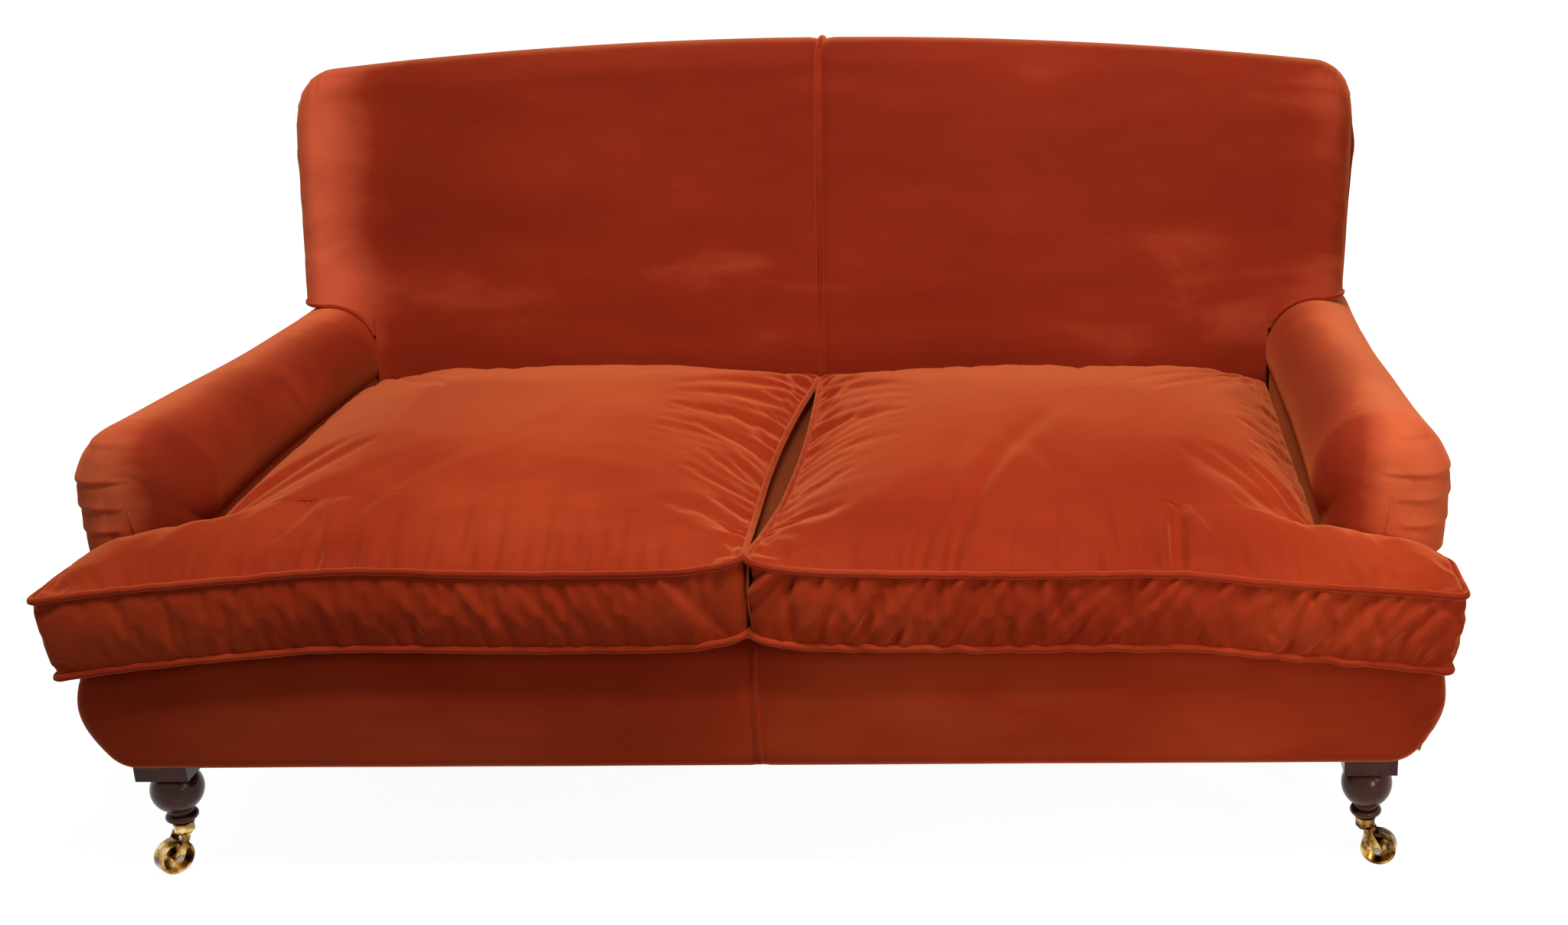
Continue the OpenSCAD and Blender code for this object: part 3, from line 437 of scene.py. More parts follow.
# Polished dark wood: long grain up the turning under a clear coat of polish, worn paler in spots
def darkWoodMaterial():
    shader = Shader("darkWood")
    grain = shader.noise(38.0, 6.0, (1, 1, 0.12), 0.6, 0.8)
    pores = shader.noise(420.0, 3.0, (1, 1, 0.06))
    wear = shader.between(shader.noise(30.0, 3.0), 0.62, 0.72)
    wood = shader.ramp(grain, [
        (0.3, colour(44, 15, 8)), (0.55, colour(80, 30, 15)), (0.75, colour(112, 48, 24))])
    worn = shader.blend(wear * 0.35, wood, colour(128, 66, 38))
    return shader.set(
        Base_Color=shader.blend(pores * 0.35, worn, colour(18, 7, 5)),
        Roughness=grain * 0.16 + 0.2, Specular_IOR_Level=0.15, Coat_Weight=0.15, Coat_Roughness=0.08,
        Normal=shader.bump(pores, 0.2, 0.0003))


# Beech, and where it shows under the seat a dark stain
def timberMaterial(name, stained=False):
    shader = Shader(name)
    grain = shader.noise(24.0, 5.0, (1, 1, 0.1) if stained else (0.08, 1, 1), 0.6, 0.5)
    fleck = shader.noise(260.0, 2.0, (1, 1, 0.15) if stained else (0.15, 1, 1))
    pale = shader.ramp(grain, [(0.3, colour(178, 140, 96)), (0.7, colour(212, 180, 134))])
    wood = shader.blend(fleck * 0.3, pale, colour(150, 108, 70))
    rough = fleck * 0.2 + 0.5
    if stained:
        up = shader.node("ShaderNodeSeparateXYZ", {}, {0: shader.place()}, output=2)
        bare = shader.between(up, sofa["undersideZ"], sofa["undersideZ"] + 0.004)
        stain = shader.ramp(grain, [(0.3, colour(30, 11, 7)), (0.7, colour(70, 30, 16))])
        wood = shader.blend(bare, stain, wood)
        rough = bare * 0.3 + 0.25
    return shader.set(Base_Color=wood, Roughness=rough, Specular_IOR_Level=0.15 if stained else 0.4,
                      Normal=shader.bump(grain, 0.15, 0.0005))


# Brass: bright, with brown tarnish in patches
def brassMaterial():
    shader = Shader("brass")
    tarnish = shader.noise(60.0, 5.0)
    scratches = shader.noise(500.0, 2.0, (1, 0.1, 1))
    metal = shader.ramp(tarnish, [
        (0.4, colour(58, 36, 16)), (0.54, colour(156, 116, 58)), (0.68, colour(228, 198, 140))])
    return shader.set(Base_Color=metal, Metallic=1.0, Roughness=scratches * 0.14 + 0.1,
                      Normal=shader.bump(scratches, 0.12, 0.0001))


# Plain drawn steel, for springs and bolts
def steelMaterial():
    shader = Shader("steel")
    marks = shader.noise(300.0, 3.0, (0.2, 1, 1))
    metal = shader.ramp(marks, [(0.3, colour(120, 120, 118)), (0.7, colour(176, 176, 172))])
    return shader.set(Base_Color=metal, Metallic=1.0, Roughness=marks * 0.25 + 0.25)


# Plain woven cloth: two crossed sets of threads
def wovenMaterial(name, light, dark, threads):
    shader = Shader(name)
    warp, weft = (shader.node("ShaderNodeTexWave", {"bands_direction": way}, {
        "Vector": shader.place(), "Scale": threads, "Distortion": 1.5, "Detail Scale": 2.0}) for way in "XY")
    height = warp * weft
    slubs = shader.noise(40.0, 4.0)
    return shader.set(
        Base_Color=shader.ramp(height * 0.6 + slubs * 0.4, [(0.15, dark), (0.75, light)]),
        Roughness=0.92, Normal=shader.bump(height, 0.5, 0.0006))


# Where painted highlight and painted shade go on the arms and back, and how much painted sheen the arms get:
# widths from the frame's half width, then what each place adds to the level
paintedLightBands = {
    "armBand": (0.10, 0.005), "armShift": 0.34, "armBase": -0.16, "armPaintedSheen": 1.15, "armPaintedSheenBase": 0.2,
    "leftBand": 0.16, "leftShift": 0.56, "rightBand": 0.1, "rightShift": 0.14,
    "footBand": (0.5, 0.75), "footShift": 0.06, "backBase": 0.03,
}


# Painted highlight and more painted sheen on the outer half of each arm, across the roll's centre line, and
# painted shade on its inner half
def armPaintedLight(shader):
    b = paintedLightBands
    where = shader.place()
    x, y = (shader.node("ShaderNodeSeparateXYZ", {}, {0: where}, output=k) for k in (0, 1))
    out = x.math("ABSOLUTE") + (y - backY) * sofa["splay"]
    outer = shader.between(out, *(sofa["frameX"] - far for far in b["armBand"]))
    return outer * b["armShift"] + b["armBase"], outer * b["armPaintedSheen"] + b["armPaintedSheenBase"]


# Painted highlight on the back towards its two sides, most on the left, and a little towards its foot;
# elsewhere its level is lowered a little
def backPaintedLight(shader):
    b = paintedLightBands
    where = shader.place()
    x, z = (shader.node("ShaderNodeSeparateXYZ", {}, {0: where}, output=k) for k in (0, 2))
    left = shader.between(0 - x, sofa["frameX"] - b["leftBand"], sofa["frameX"])
    right = shader.between(x, sofa["frameX"] - b["rightBand"], sofa["frameX"])
    foot = 1 - shader.between(z, *b["footBand"])
    paler = left * b["leftShift"] + right * b["rightShift"] + foot * b["footShift"] - b["backBase"]
    return paler, 1.0


# Each velvet's shades run from deep to pale
materials = {
    "velvet": velvetMaterial("velvet", colour(142, 35, 9), colour(160, 48, 17), colour(182, 66, 30),
                             (1, 1, 1.5)),
    # The arms' and the back's velvet take painted highlight, painted shade and painted sheen from the two
    # functions above
    "velvetArm": velvetMaterial("velvetArm", colour(128, 32, 11), colour(158, 50, 22), colour(222, 102, 62),
                                paintedLightMask=armPaintedLight, sheen=0.3),
    "velvetBack": velvetMaterial("velvetBack", colour(126, 29, 8), colour(144, 40, 14), colour(226, 100, 66),
                                 (0.6, 1, 2.2), backPaintedLight, (0.34, 0.58, 1.0)),
    "velvetBoxing": velvetMaterial("velvetBoxing", colour(152, 54, 36), colour(174, 76, 56),
                                   colour(202, 102, 80), paintedSheen=0.0),
    # The cushions' walls that lie against each other: a much darker copy of the velvet with little sheen, as
    # painted shade in the gap between the cushions
    "velvetPressed": velvetMaterial("velvetPressed", colour(58, 16, 7), colour(76, 23, 9),
                                    colour(98, 33, 14), paintedSheen=0.0, sheen=0.05),
    # The piping is a little darker than the cover: painted shade along the seams and welts
    "velvetPiping": velvetMaterial("velvetPiping", colour(128, 30, 9), colour(150, 42, 15),
                                   colour(176, 62, 30)),
    "darkWood": darkWoodMaterial(),
    "timber": timberMaterial("beech"),
    "stainedTimber": timberMaterial("stainedBeech", True),
    "brass": brassMaterial(),
    "steel": steelMaterial(),
    "jute": wovenMaterial("jute", colour(196, 168, 118), colour(128, 100, 62), 160.0),
    "cloth": wovenMaterial("calico", colour(236, 228, 210), colour(196, 184, 160), 300.0),
    "dustCloth": wovenMaterial("cambric", colour(58, 55, 52), colour(24, 23, 22), 260.0),
}
print("materials made")


# Gives a piece its materials and body, and hides the CAD nodes that it stands for
def dress(piece, finishes, body="sofa", nodes=()):
    piece.data.materials.clear()
    for finish in finishes.split():
        piece.data.materials.append(materials[finish])
    if nodes:
        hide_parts(*nodes)
    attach(piece, body)


# Piping or a welt: a tube of velvet along a path
def makePiping(name, path, outward, radius, body="sofa", side=1, closed=False):
    tube = tubeGrid(path, outward, radius, closed=closed)
    dress(makePiece(name, mirrored(tube, side), weld=1e-6), "velvetPiping", body)


# Seat cushions, worked out for the right-hand side

cushion = {
    "innerX": 0.004, "outerX": 0.878, "notchX": 0.7156, "rearOuterX": 0.686,
    "earBackY": sofa["frontY"] + 0.107, "rearY": backY - 0.003,
    "corners": (0.018, 0.014, 0.020, 0.016, 0.030, 0.020),   # round the seam from the inner front corner
    "drawnIn": (0.004, 0.0, 0.0, 0.003, 0.004, 0.017),
    "columns": 221, "rows": 169, "borderRows": 25, "arcPoints": 13, "sidePoints": 60,
    "levelled": 0.86,           # how far the inner side's points keep level with the outer side's
    "seamLift": 0.008, "borderHeight": 0.101, "seamRise": 0.028, "borderPuff": 0.004,
    "earDrop": 0.036, "earStartX": 0.540, "earTuck": 0.014, "earNarrows": 0.004, "earCurve": 1.25,
    "cornerLift": 0.018, "cornerDepth": 0.2, "cornerWidth": 0.045,      # inner front corners ride up
    "pressedDown": 0.022,       # how far the arms push the upper piping down
    "pressedFrom": 0.6, "pressedOver": 0.05,
    "crown": {"left": 0.070, "right": 0.062},
    # Profiles of the crown, 1 - |t|^a to the power b, towards each side
    "frontCrown": (2.6, 0.72), "rearCrown": (3.4, 0.62), "sideCrown": (2.8, 0.62), "armCrown": (6.0, 0.42),
    "armCrownFrom": -0.06, "armCrownOver": 0.12, "edgeCrown": 40, "flatUnder": 0.75,
    "seamBumps": {"left": ((0.006, 0.80, 0.14), (0.006, 0.47, 0.10)),      # height, place, width
                  "right": ((-0.009, 0.66, 0.13), (-0.005, 0.36, 0.16))},
    "bumpDepth": 0.3,
    "shrink": (-0.03, 0.0), "borderFull": 0.3, "heldInner": 0.06, "heldRear": 0.03,     # for the Cloth
    "pucker": 0.0008, "puckerScale": 0.05,
}


# Height of the cushions' underside: level, then curving down to the ear
def underZ(x):
    c = cushion
    share = np.clip((np.abs(x) - c["earStartX"]) / (c["outerX"] - c["earStartX"]), 0, 1)
    return sofa["deckZ"] - c["earDrop"] * share ** c["earCurve"]


# Rises and hollows of the front seams, which fade towards the back; the lower seam has half of each
def seamBump(x, y, name):
    near = 1 - ease((y - sofa["frontY"]) / cushion["bumpDepth"])
    bumps = cushion["seamBumps"][name]
    return near * sum(height * bell((x - place) / width) for height, place, width in bumps)


# Height of the lower seam: a little over the underside, and riding up at the inner front corner
def lowerSeamZ(x, y, name):
    c = cushion
    nearFront = 1 - np.clip((y - sofa["frontY"]) / c["cornerDepth"], 0, 1)
    lift = c["cornerLift"] * nearFront * np.exp(-(np.abs(x) - c["innerX"]) / c["cornerWidth"])
    return underZ(x) + c["seamLift"] + lift + 0.5 * seamBump(x, y, name)


# Height of the upper seam: the border's height over the lower one, and rising towards the back
def upperSeamZ(x, y, name):
    c = cushion
    rise = ease((y - sofa["frontY"]) / (c["rearY"] - sofa["frontY"]))
    return lowerSeamZ(x, y, name) + c["borderHeight"] + c["seamRise"] * rise + 0.5 * seamBump(x, y, name)


# How far the lower seam and the underside are drawn in towards the ear
def earPull(x):
    c = cushion
    return c["earTuck"] * np.clip((x - c["earStartX"]) / (c["outerX"] - c["earStartX"]), 0, 1) ** 3


# The seam in plan: straight sides drawn in a little, joined by round corners
# Returns the four sides of the panel, each sampled along its length
def cushionSides():
    c = cushion
    corners = np.array([
        [c["innerX"], sofa["frontY"]], [c["outerX"], sofa["frontY"]],
        [c["outerX"] - c["earNarrows"], c["earBackY"]], [c["notchX"], c["earBackY"]],
        [c["rearOuterX"], c["rearY"]], [c["innerX"], c["rearY"]]])
    pieces, marks, length = [], [], 0
    for i, here in enumerate(corners):
        before, after = corners[i - 1], corners[(i + 1) % len(corners)]
        toBefore, toAfter = unit(before - here), unit(after - here)
        radius, nextRadius = c["corners"][i], c["corners"][(i + 1) % len(corners)]
        t = np.linspace(0, 1, c["arcPoints"])[:, None]
        start, end = here + toBefore * radius, here + toAfter * radius
        arc = (1 - t) ** 2 * start + 2 * t * (1 - t) * here + t ** 2 * end
        far = after - toAfter * nextRadius
        s = np.linspace(0, 1, c["sidePoints"])[1:-1, None]
        inward = np.array([-toAfter[1], toAfter[0]])
        straight = mix(end, far, s) + inward * c["drawnIn"][i] * np.sin(s * math.pi)
        halfArc = arc[:c["arcPoints"] // 2 + 1]
        marks.append(length + np.linalg.norm(np.diff(halfArc, axis=0), axis=1).sum())
        run = np.concatenate([arc, straight])
        pieces.append(run)
        length += np.linalg.norm(np.diff(np.concatenate([run, far[None]]), axis=0), axis=1).sum()
    loop = np.concatenate(pieces + [pieces[0][:1]])
    corner = [marks[k] / length for k in (0, 1, 4, 5)]

    def between(a, b, shares):
        return alongPath(loop, mix(a, b, shares) % 1.0)

    across, along = np.linspace(0, 1, c["columns"]), np.linspace(0, 1, c["rows"])
    # The outer side turns in behind the ear, so the inner side's points keep level with it
    outer = between(corner[1], corner[2], along)
    rise = np.maximum.accumulate((outer[:, 1] - outer[0, 1]) / (outer[-1, 1] - outer[0, 1]))
    level = rise * c["levelled"] + along * (1 - c["levelled"])
    return (between(corner[0], corner[1], across), outer, between(corner[3], corner[2], across),
            between(corner[0] + 1, corner[3], level))


# Plan of the panel: each point blends the four sides (a Coons patch)
def cushionPlan():
    front, outer, rear, inner = cushionSides()
    u = np.linspace(0, 1, len(front))[None, :, None]
    v = np.linspace(0, 1, len(outer))[:, None, None]
    across = mix(inner[:, None], outer[:, None], u)
    along = mix(front[None], rear[None], v)
    corners = mix(mix(front[0], front[-1], u), mix(rear[0], rear[-1], u), v)
    return across + along - corners


# The points round a grid's edge, once round from its first corner
def edgeLoop(grid):
    return np.concatenate([grid[0, :-1], grid[:-1, -1], grid[-1, :0:-1], grid[:0:-1, 0]])


# Crown over the seam: steep at the seams, broad in the middle, fuller at the rear; it follows the depth y,
# and is 0 all round the grid's edge
def crownShape(y):
    c = cushion
    rows, columns = y.shape
    u = np.linspace(-1, 1, columns)[None, :]
    edge = np.linspace(-1, 1, rows)[:, None]
    v = 2 * np.clip((y - sofa["frontY"]) / (c["rearY"] - sofa["frontY"]), 0, 1) - 1

    def profile(t, steep, full):
        return (1 - np.abs(t) ** steep) ** full

    along = np.where(v > 0, profile(v, *c["rearCrown"]), profile(v, *c["frontCrown"]))
    besideArm = (u > 0) * ease((y - c["earBackY"] - c["armCrownFrom"]) / c["armCrownOver"])
    across = profile(u, *(mix(a, b, besideArm) for a, b in zip(c["sideCrown"], c["armCrown"])))
    return across * along * (1 - np.abs(edge) ** c["edgeCrown"])


# Creases of the covers, with the seam that each row starts at
creases = {
    "left": (
        ("front", creaseRow(10, (0.50, 0.80), (0.07, 0.16), (0.011, 0.017), (0.002, 0.0045), (-0.75, -0.45))),
        ("front", creaseRow(16, (0.24, 0.56), (0.03, 0.09), (0.007, 0.012), (0.0018, 0.004), (-0.35, 0.05))),
        ("front", creaseRow(12, (0.01, 0.24), (0.025, 0.07), (0.005, 0.009), (0.001, 0.0022), (-0.1, 0.4))),
        ("inner", creaseRow(38, (-0.45, 0.20), (0.02, 0.06), (0.007, 0.011), (0.0016, 0.004), (-0.1, 0.5))),
        ("rear", creaseRow(16, (0.02, 0.66), (0.03, 0.07), (0.007, 0.012), (0.0008, 0.002), (-0.3, 0.3))),
        ("upper", creaseRow(24, (0.02, 0.40), (0.04, 0.09), (0.005, 0.009), (0.0012, 0.0032), (-0.8, 0.3))),
        ("lower", creaseRow(34, (0.02, 0.66), (0.03, 0.08), (0.004, 0.008), (0.001, 0.0026), (-0.3, 0.8))),
    ),
    "right": (
        ("front", creaseRow(15, (0.50, 0.86), (0.05, 0.14), (0.008, 0.014), (0.002, 0.005), (-0.8, -0.1))),
        ("front", creaseRow(5, (0.42, 0.56), (0.12, 0.20), (0.010, 0.014), (0.006, 0.009), (-0.25, 0.1))),
        ("front", creaseRow(2, (0.20, 0.26), (0.16, 0.26), (0.010, 0.013), (0.007, 0.010), (0.05, 0.35))),
        ("front", creaseRow(16, (0.01, 0.40), (0.03, 0.08), (0.006, 0.010), (0.0008, 0.0022), (-0.2, 0.6))),
        ("inner", creaseRow(30, (-0.44, 0.18), (0.03, 0.09), (0.008, 0.013), (0.002, 0.0048), (-0.2, 0.6))),
        ("rear", creaseRow(16, (0.02, 0.66), (0.03, 0.09), (0.008, 0.013), (0.001, 0.003), (-0.5, 0.5))),
        ("arm", creaseRow(6, (-0.33, 0.16), (0.06, 0.14), (0.014, 0.022), (0.0015, 0.004), (-0.5, 0.5))),
        ("upper", creaseRow(56, (0.01, 0.87), (0.05, 0.11), (0.005, 0.009), (0.003, 0.0068), (-0.75, -0.05))),
        ("lower", creaseRow(58, (0.01, 0.87), (0.04, 0.09), (0.005, 0.008), (0.0024, 0.0056), (0.05, 0.9))),
    ),
}


# Adds the creases along a grid's outward normals; distances gives the two coordinates of each seam
def crease(grid, name, distances, seed):
    height = np.zeros(grid.shape[:2])
    for number, (seam, look) in enumerate(creases[name]):
        if seam in distances:
            height += folds(*distances[seam], look, seed * 40 + number)
    return grid + gridNormals(grid) * height[..., None]


# The cushion's cover: a crowned top, the boxed border between its seams and a flat underside
# Returns its grids, the seams, and the outward direction at each point of a seam
def cushionGrids(name, side):
    c = cushion
    seed = 11 + side
    plan = cushionPlan()
    x, y = plan[..., 0], plan[..., 1]
    crown = crownShape(y)
    top = np.stack([x, y, upperSeamZ(x, y, name) + c["crown"][name] * crown], -1)
    loop = edgeLoop(plan)
    outward = unit(np.roll(loop, -1, 0) - np.roll(loop, 1, 0))[:, ::-1] * np.array([1, -1])
    low, high = lowerSeamZ(*loop.T, name), upperSeamZ(*loop.T, name)
    pull = earPull(loop[:, 0])
    t = np.linspace(0, 1, c["borderRows"])[:, None]
    puff = c["borderPuff"] * np.sin(t * math.pi)
    border = np.stack([loop[:, 0] + outward[:, 0] * puff - pull * (1 - t), loop[:, 1] + outward[:, 1] * puff,
                       mix(low, high, t)], -1)
    border = np.concatenate([border, border[:, :1]], 1)
    under = mix(lowerSeamZ(x, y, name), underZ(x), ease(crown / c["flatUnder"]))
    flat = np.stack([x - earPull(x), y, under], -1)

    # The cover is blown up as Cloth on every second point, sewn down at its seams and at its hidden walls
    coarse = [top[::2, ::2], border[::2, ::2]]
    ring = np.linspace(0, 1, coarse[1].shape[0])[:, None] + np.zeros(coarse[1].shape[:2])
    held = (ring == 0) | (ring == 1) | (coarse[1][..., 0] < c["heldInner"]) \
        | (coarse[1][..., 1] > c["rearY"] - c["heldRear"])
    hold = [(crown[::2, ::2] == 0).astype(float), held.astype(float)]
    full = [1 - ease(1 - crown[::2, ::2]), 0 * ring + c["borderFull"]]
    settled = inflate(coarse, hold, full, c["shrink"])
    top, border = (grid + refined(after - before)
                   for grid, after, before in zip((top, border), settled, coarse))

    # Where the cushion meets the arm; in front of the arm no crease starts from it
    behindEar = (y - c["earBackY"]) / (c["rearY"] - c["earBackY"])
    edge = np.where(y > c["earBackY"], mix(c["notchX"], c["rearOuterX"], behindEar), 2 * c["outerX"])
    top = crease(top, name, {
        "front": (x, y - sofa["frontY"]), "inner": (y, np.maximum(x - c["innerX"], 0)),
        "rear": (x, np.maximum(c["rearY"] - y, 0)), "arm": (y, np.maximum(edge - x, 0))}, seed)
    length = np.concatenate([[0], np.cumsum(np.linalg.norm(np.diff(border[-1], axis=0), axis=1))])
    border = crease(border, name, {
        "upper": (length[None], (1 - t) * c["borderHeight"]),
        "lower": (length[None], t * c["borderHeight"])}, seed)
    outward = np.column_stack([outward, np.zeros(len(outward))])
    seams = {"upper": border[-1, :-1], "lower": border[0, :-1]}
    inner = 2 * (c["columns"] - 1) + c["rows"] - 1      # first point of the border's inner wall
    return [top, border[:, :inner + 1], border[:, inner:], flat], seams, outward


# Each seam's piping stands half its radius proud and runs a little unevenly
def makeCushions():
    c = cushion
    for name, side in sides.items():
        grids, seams, outward = cushionGrids(name, side)
        body = name + "_cushion"
        piece = makePiece(name + "CushionCover", mirrored(grids, side), (0, 1, 2, 0))
        dress(piece, "velvet velvetBoxing velvetPressed", body, [name + "_seat_cushion"])
        radius = sofa["pipingRadius"]
        for level, path in seams.items():
            pucker = ripples(path, c["puckerScale"], 61 + side)[:, None] * np.array([0, 0, c["pucker"]])
            if level == "upper":
                beside = ease((path[:, 0] - c["pressedFrom"]) / c["pressedOver"]) \
                    * ease((path[:, 1] - c["earBackY"]) / c["pressedOver"])
                pucker[:, 2] -= c["pressedDown"] * beside
            makePiping(name + level.capitalize() + "Piping", path + outward * radius * 0.5 + pucker,
                       outward, radius, body, side, closed=True)
    print("cushions made")


# Back

back = {
    "lowX": 0.813, "topX": 0.832, "rollRadius": 0.060, "cornerRadius": 0.058, "edgeRadius": 0.040,
    "kneeZ": 0.470, "puff": 0.009, "archRadius": 6.9, "topZ": 0.970, "lean": math.radians(5.5),
    "railTopZ": 0.2658, "topRailZ": 0.934, "panel": 0.0043, "overArmZ": 0.583, "innerX": 0.6887,
    "armPass": 0.002, "taperGap": 0.03, "levelGap": 0.01,
    "columns": 281, "faceRows": 75, "rollRows": 34, "rearRows": 26, "endRows": 9, "endPuff": 0.006,
    "grooveDepth": 0.0055, "grooveWidth": 0.009,        # where the centre seam is drawn in
    "pipingRadius": 0.0055, "pipingProud": 0.0025, "pipingStart": 0.03, "pipingPoints": 180,
    "weltRadius": 0.0034, "weltGap": 0.003, "weltPoints": 60,
    "hollows": (0.0022, 0.45), "unevenness": (0.0007, 0.12), "flatter": (1, 1, 2.2),    # height, length
    "faceGap": 0.05, "faceOver": 0.04, "turnedRows": 6,         # where the softness fades out
    "leanX": -0.66,             # where somebody leaned
    "leanMarks": creaseRow(2, (0.70, 0.90), (0.06, 0.10), (0.03, 0.05), (0.001, 0.002), (-0.5, 0.5)),
    "sidePulls": creaseRow(5, (0.60, 0.72), (0.05, 0.14), (0.007, 0.012), (0.0008, 0.0022), (0.2, 0.9)),
    "pleats": (0.30, 0.62, 0.98, 1.35),     # round each top corner, in radians from the side
    "pleatWidth": 0.05, "pleatDepth": 0.0018, "pleatCentreDrop": 0.055,
    "pleatFrom": 0.030, "pleatOver": 0.03, "pleatMiddle": 0.8, "pleatSpread": 1.2,
    "ridgeHeight": 0.6, "ridgeAway": 1.5, "ridgeWidth": 1.4,        # beside each pleat, in its widths
}
back["rollZ"] = back["topZ"] - back["rollRadius"]
back["planeY"] = sofa["rearY"] - (back["topRailZ"] - back["railTopZ"]) * math.tan(back["lean"]) \
    - back["panel"] * math.cos(back["lean"])

arm = {
    "x": 0.765, "z": 0.505, "rearRadius": 0.076, "frontRadius": 0.090, "noseRadius": 0.060,
    "frontY": sofa["frontY"] + 0.110, "rearY": back["planeY"] - 0.010, "rollStart": math.radians(-42),
    "stemHeight": 0.090, "stemLength": 0.150, "seatZ": 0.290, "wallBlend": 8.0, "railGap": 0.012,
    "railDrop": 0.006, "frontBulge": 0.004,
    "rollSteps": 240, "wallSteps": 18, "underSteps": 5, "lengthSteps": 96, "noseSteps": 40, "capSteps": 24,
    "closingSteps": 5, "stillSteps": 8,
    "unevenness": (0.0014, 0.28),           # height and length
    # Folds gathered over the front: height over the roll's centre, depth, how far back they reach
    "pleats": ((0.062, 0.0016, 0.075), (0.018, 0.0022, 0.100),
               (-0.014, 0.0022, 0.095), (-0.048, 0.0018, 0.080)),
    "pleatSlope": 0.10,         # how far each line falls for each metre outwards
    "pleatBow": 0.15, "pleatBowFrom": 0.04, "pleatOut": 0.05,
    "pleatInner": (-0.03, -0.005), "pleatFade": 0.05,           # where they fade towards the inner side
    "pleatStep": 0.0011, "pleatFull": 0.012, "hollowDepth": 0.6, "hollowWidth": 0.006,
    # The foot of the front, a flat panel behind the cushion's ear
    "footColumns": 24, "footRows": 16, "footGap": 0.002, "footInner": 0.001, "footOver": 0.01,
    "footThickness": 0.005,
}


# Depth of the back's leaning rear plane at a height
def rearPlaneY(z):
    return back["planeY"] + (z - back["railTopZ"]) * math.tan(back["lean"])


# Half width of the back at a height
def backX(z):
    b = back
    rise = np.clip((z - b["overArmZ"]) / (b["rollZ"] - b["overArmZ"] - b["taperGap"]), 0, 1)
    return mix(b["lowX"], b["topX"], rise)


# Where the back's lower edge lies: on the platform between the arms, over the rolls beyond them
def backLowZ(x):
    b, radius = back, arm["rearRadius"] + back["armPass"]
    over = np.sqrt(np.maximum(radius ** 2 - (np.abs(x) - arm["x"]) ** 2, 0))
    return np.where(np.abs(x) < b["innerX"], sofa["deckZ"],
                    np.where(np.abs(x) < arm["x"], arm["z"] + over, b["overArmZ"]))


# The cover: up the face with a slight fullness, over the roll and down the rear; share runs from side to side
def backGrid():
    b = back
    share = np.sin(np.linspace(-1, 1, b["columns"]) * math.pi / 2)[None, :]
    x = share * b["lowX"]
    edge = b["lowX"] - np.abs(x)
    inset, corner = rounding(edge, b["edgeRadius"]), rounding(edge, b["cornerRadius"])
    groove = b["grooveDepth"] * bell(x / b["grooveWidth"])
    r = b["rollRadius"] - inset / 2 - groove
    arch = b["archRadius"] - np.sqrt(b["archRadius"] ** 2 - x ** 2)
    centreZ = b["rollZ"] - arch - corner + inset / 2
    centreY = rearPlaneY(centreZ) - r / math.cos(b["lean"])
    kneeY = backY + inset + groove
    dy, dz = centreY - kneeY, centreZ - b["kneeZ"]
    lean = np.arctan2(dy, dz) - np.arcsin(r / np.hypot(dy, dz))
    low, start = backLowZ(x), centreZ + r * np.sin(lean)
    puff = b["puff"] * (1 - share ** 4)
    # A third of the face's rows rise to a level just over the arms, and the others run level above it
    level, lowRows = b["overArmZ"] + b["levelGap"], b["faceRows"] // 3
    z = np.concatenate([mix(low, level, np.linspace(0, 1, lowRows)[:-1, None]),
                        mix(level, start, np.linspace(0, 1, b["faceRows"] - lowRows + 1)[:-1, None])])
    rise = np.clip((z - b["kneeZ"]) / (start - b["kneeZ"]), 0, 1)
    face = np.stack([share * backX(z), kneeY + np.maximum(0, z - b["kneeZ"]) * np.tan(lean)
                     - puff * np.sin(math.pi * rise), z], -1)
    a = mix(math.pi - lean, -b["lean"], np.linspace(0, 1, b["rollRows"])[:, None])
    z = centreZ + r * np.sin(a)
    roll = np.stack([share * backX(centreZ) + 0 * z, centreY + r * np.cos(a), z], -1)
    z = mix(centreZ - r * math.sin(b["lean"]), low, np.linspace(0, 1, b["rearRows"])[1:, None])
    rear = np.stack([share * backX(z), rearPlaneY(z) + 0 * x, z], -1)
    return np.concatenate([face, roll, rear])


# Heights to add to the back: slow hollows, marks where somebody leaned, pulls over the arms, corner pleats
def backSoftness(grid):
    b = back
    x, z = grid[..., 0], grid[..., 2]
    onFace = ease((rearPlaneY(z) - grid[..., 1] - b["faceGap"]) / b["faceOver"])
    (hollow, far), (uneven, near) = b["hollows"], b["unevenness"]
    height = hollow * ripples(grid, far, 5) + uneven * ripples(grid * np.array(b["flatter"]), near, 6)
    marks = folds(z, np.abs(x - b["leanX"]), b["leanMarks"], 51)
    for seed, side in ((52, -1), (53, 1)):
        marks = marks + folds(z, np.maximum(b["lowX"] - side * x, 0), b["sidePulls"], seed)
        inward = b["topX"] - b["cornerRadius"] - side * x
        above = z - (b["topZ"] - b["pleatCentreDrop"] - b["cornerRadius"])
        angle = np.arctan2(above, -inward)
        reach = ease((np.hypot(inward, above) - b["pleatFrom"]) / b["pleatOver"])
        nearCorner = np.abs(angle - b["pleatMiddle"]) < b["pleatSpread"]
        for place in b["pleats"]:
            away = (angle - place) / b["pleatWidth"]
            pleat = b["ridgeHeight"] * bell((away - b["ridgeAway"]) / b["ridgeWidth"]) - bell(away)
            marks = marks + b["pleatDepth"] * reach * pleat * nearCorner
    return (height + marks) * onFace


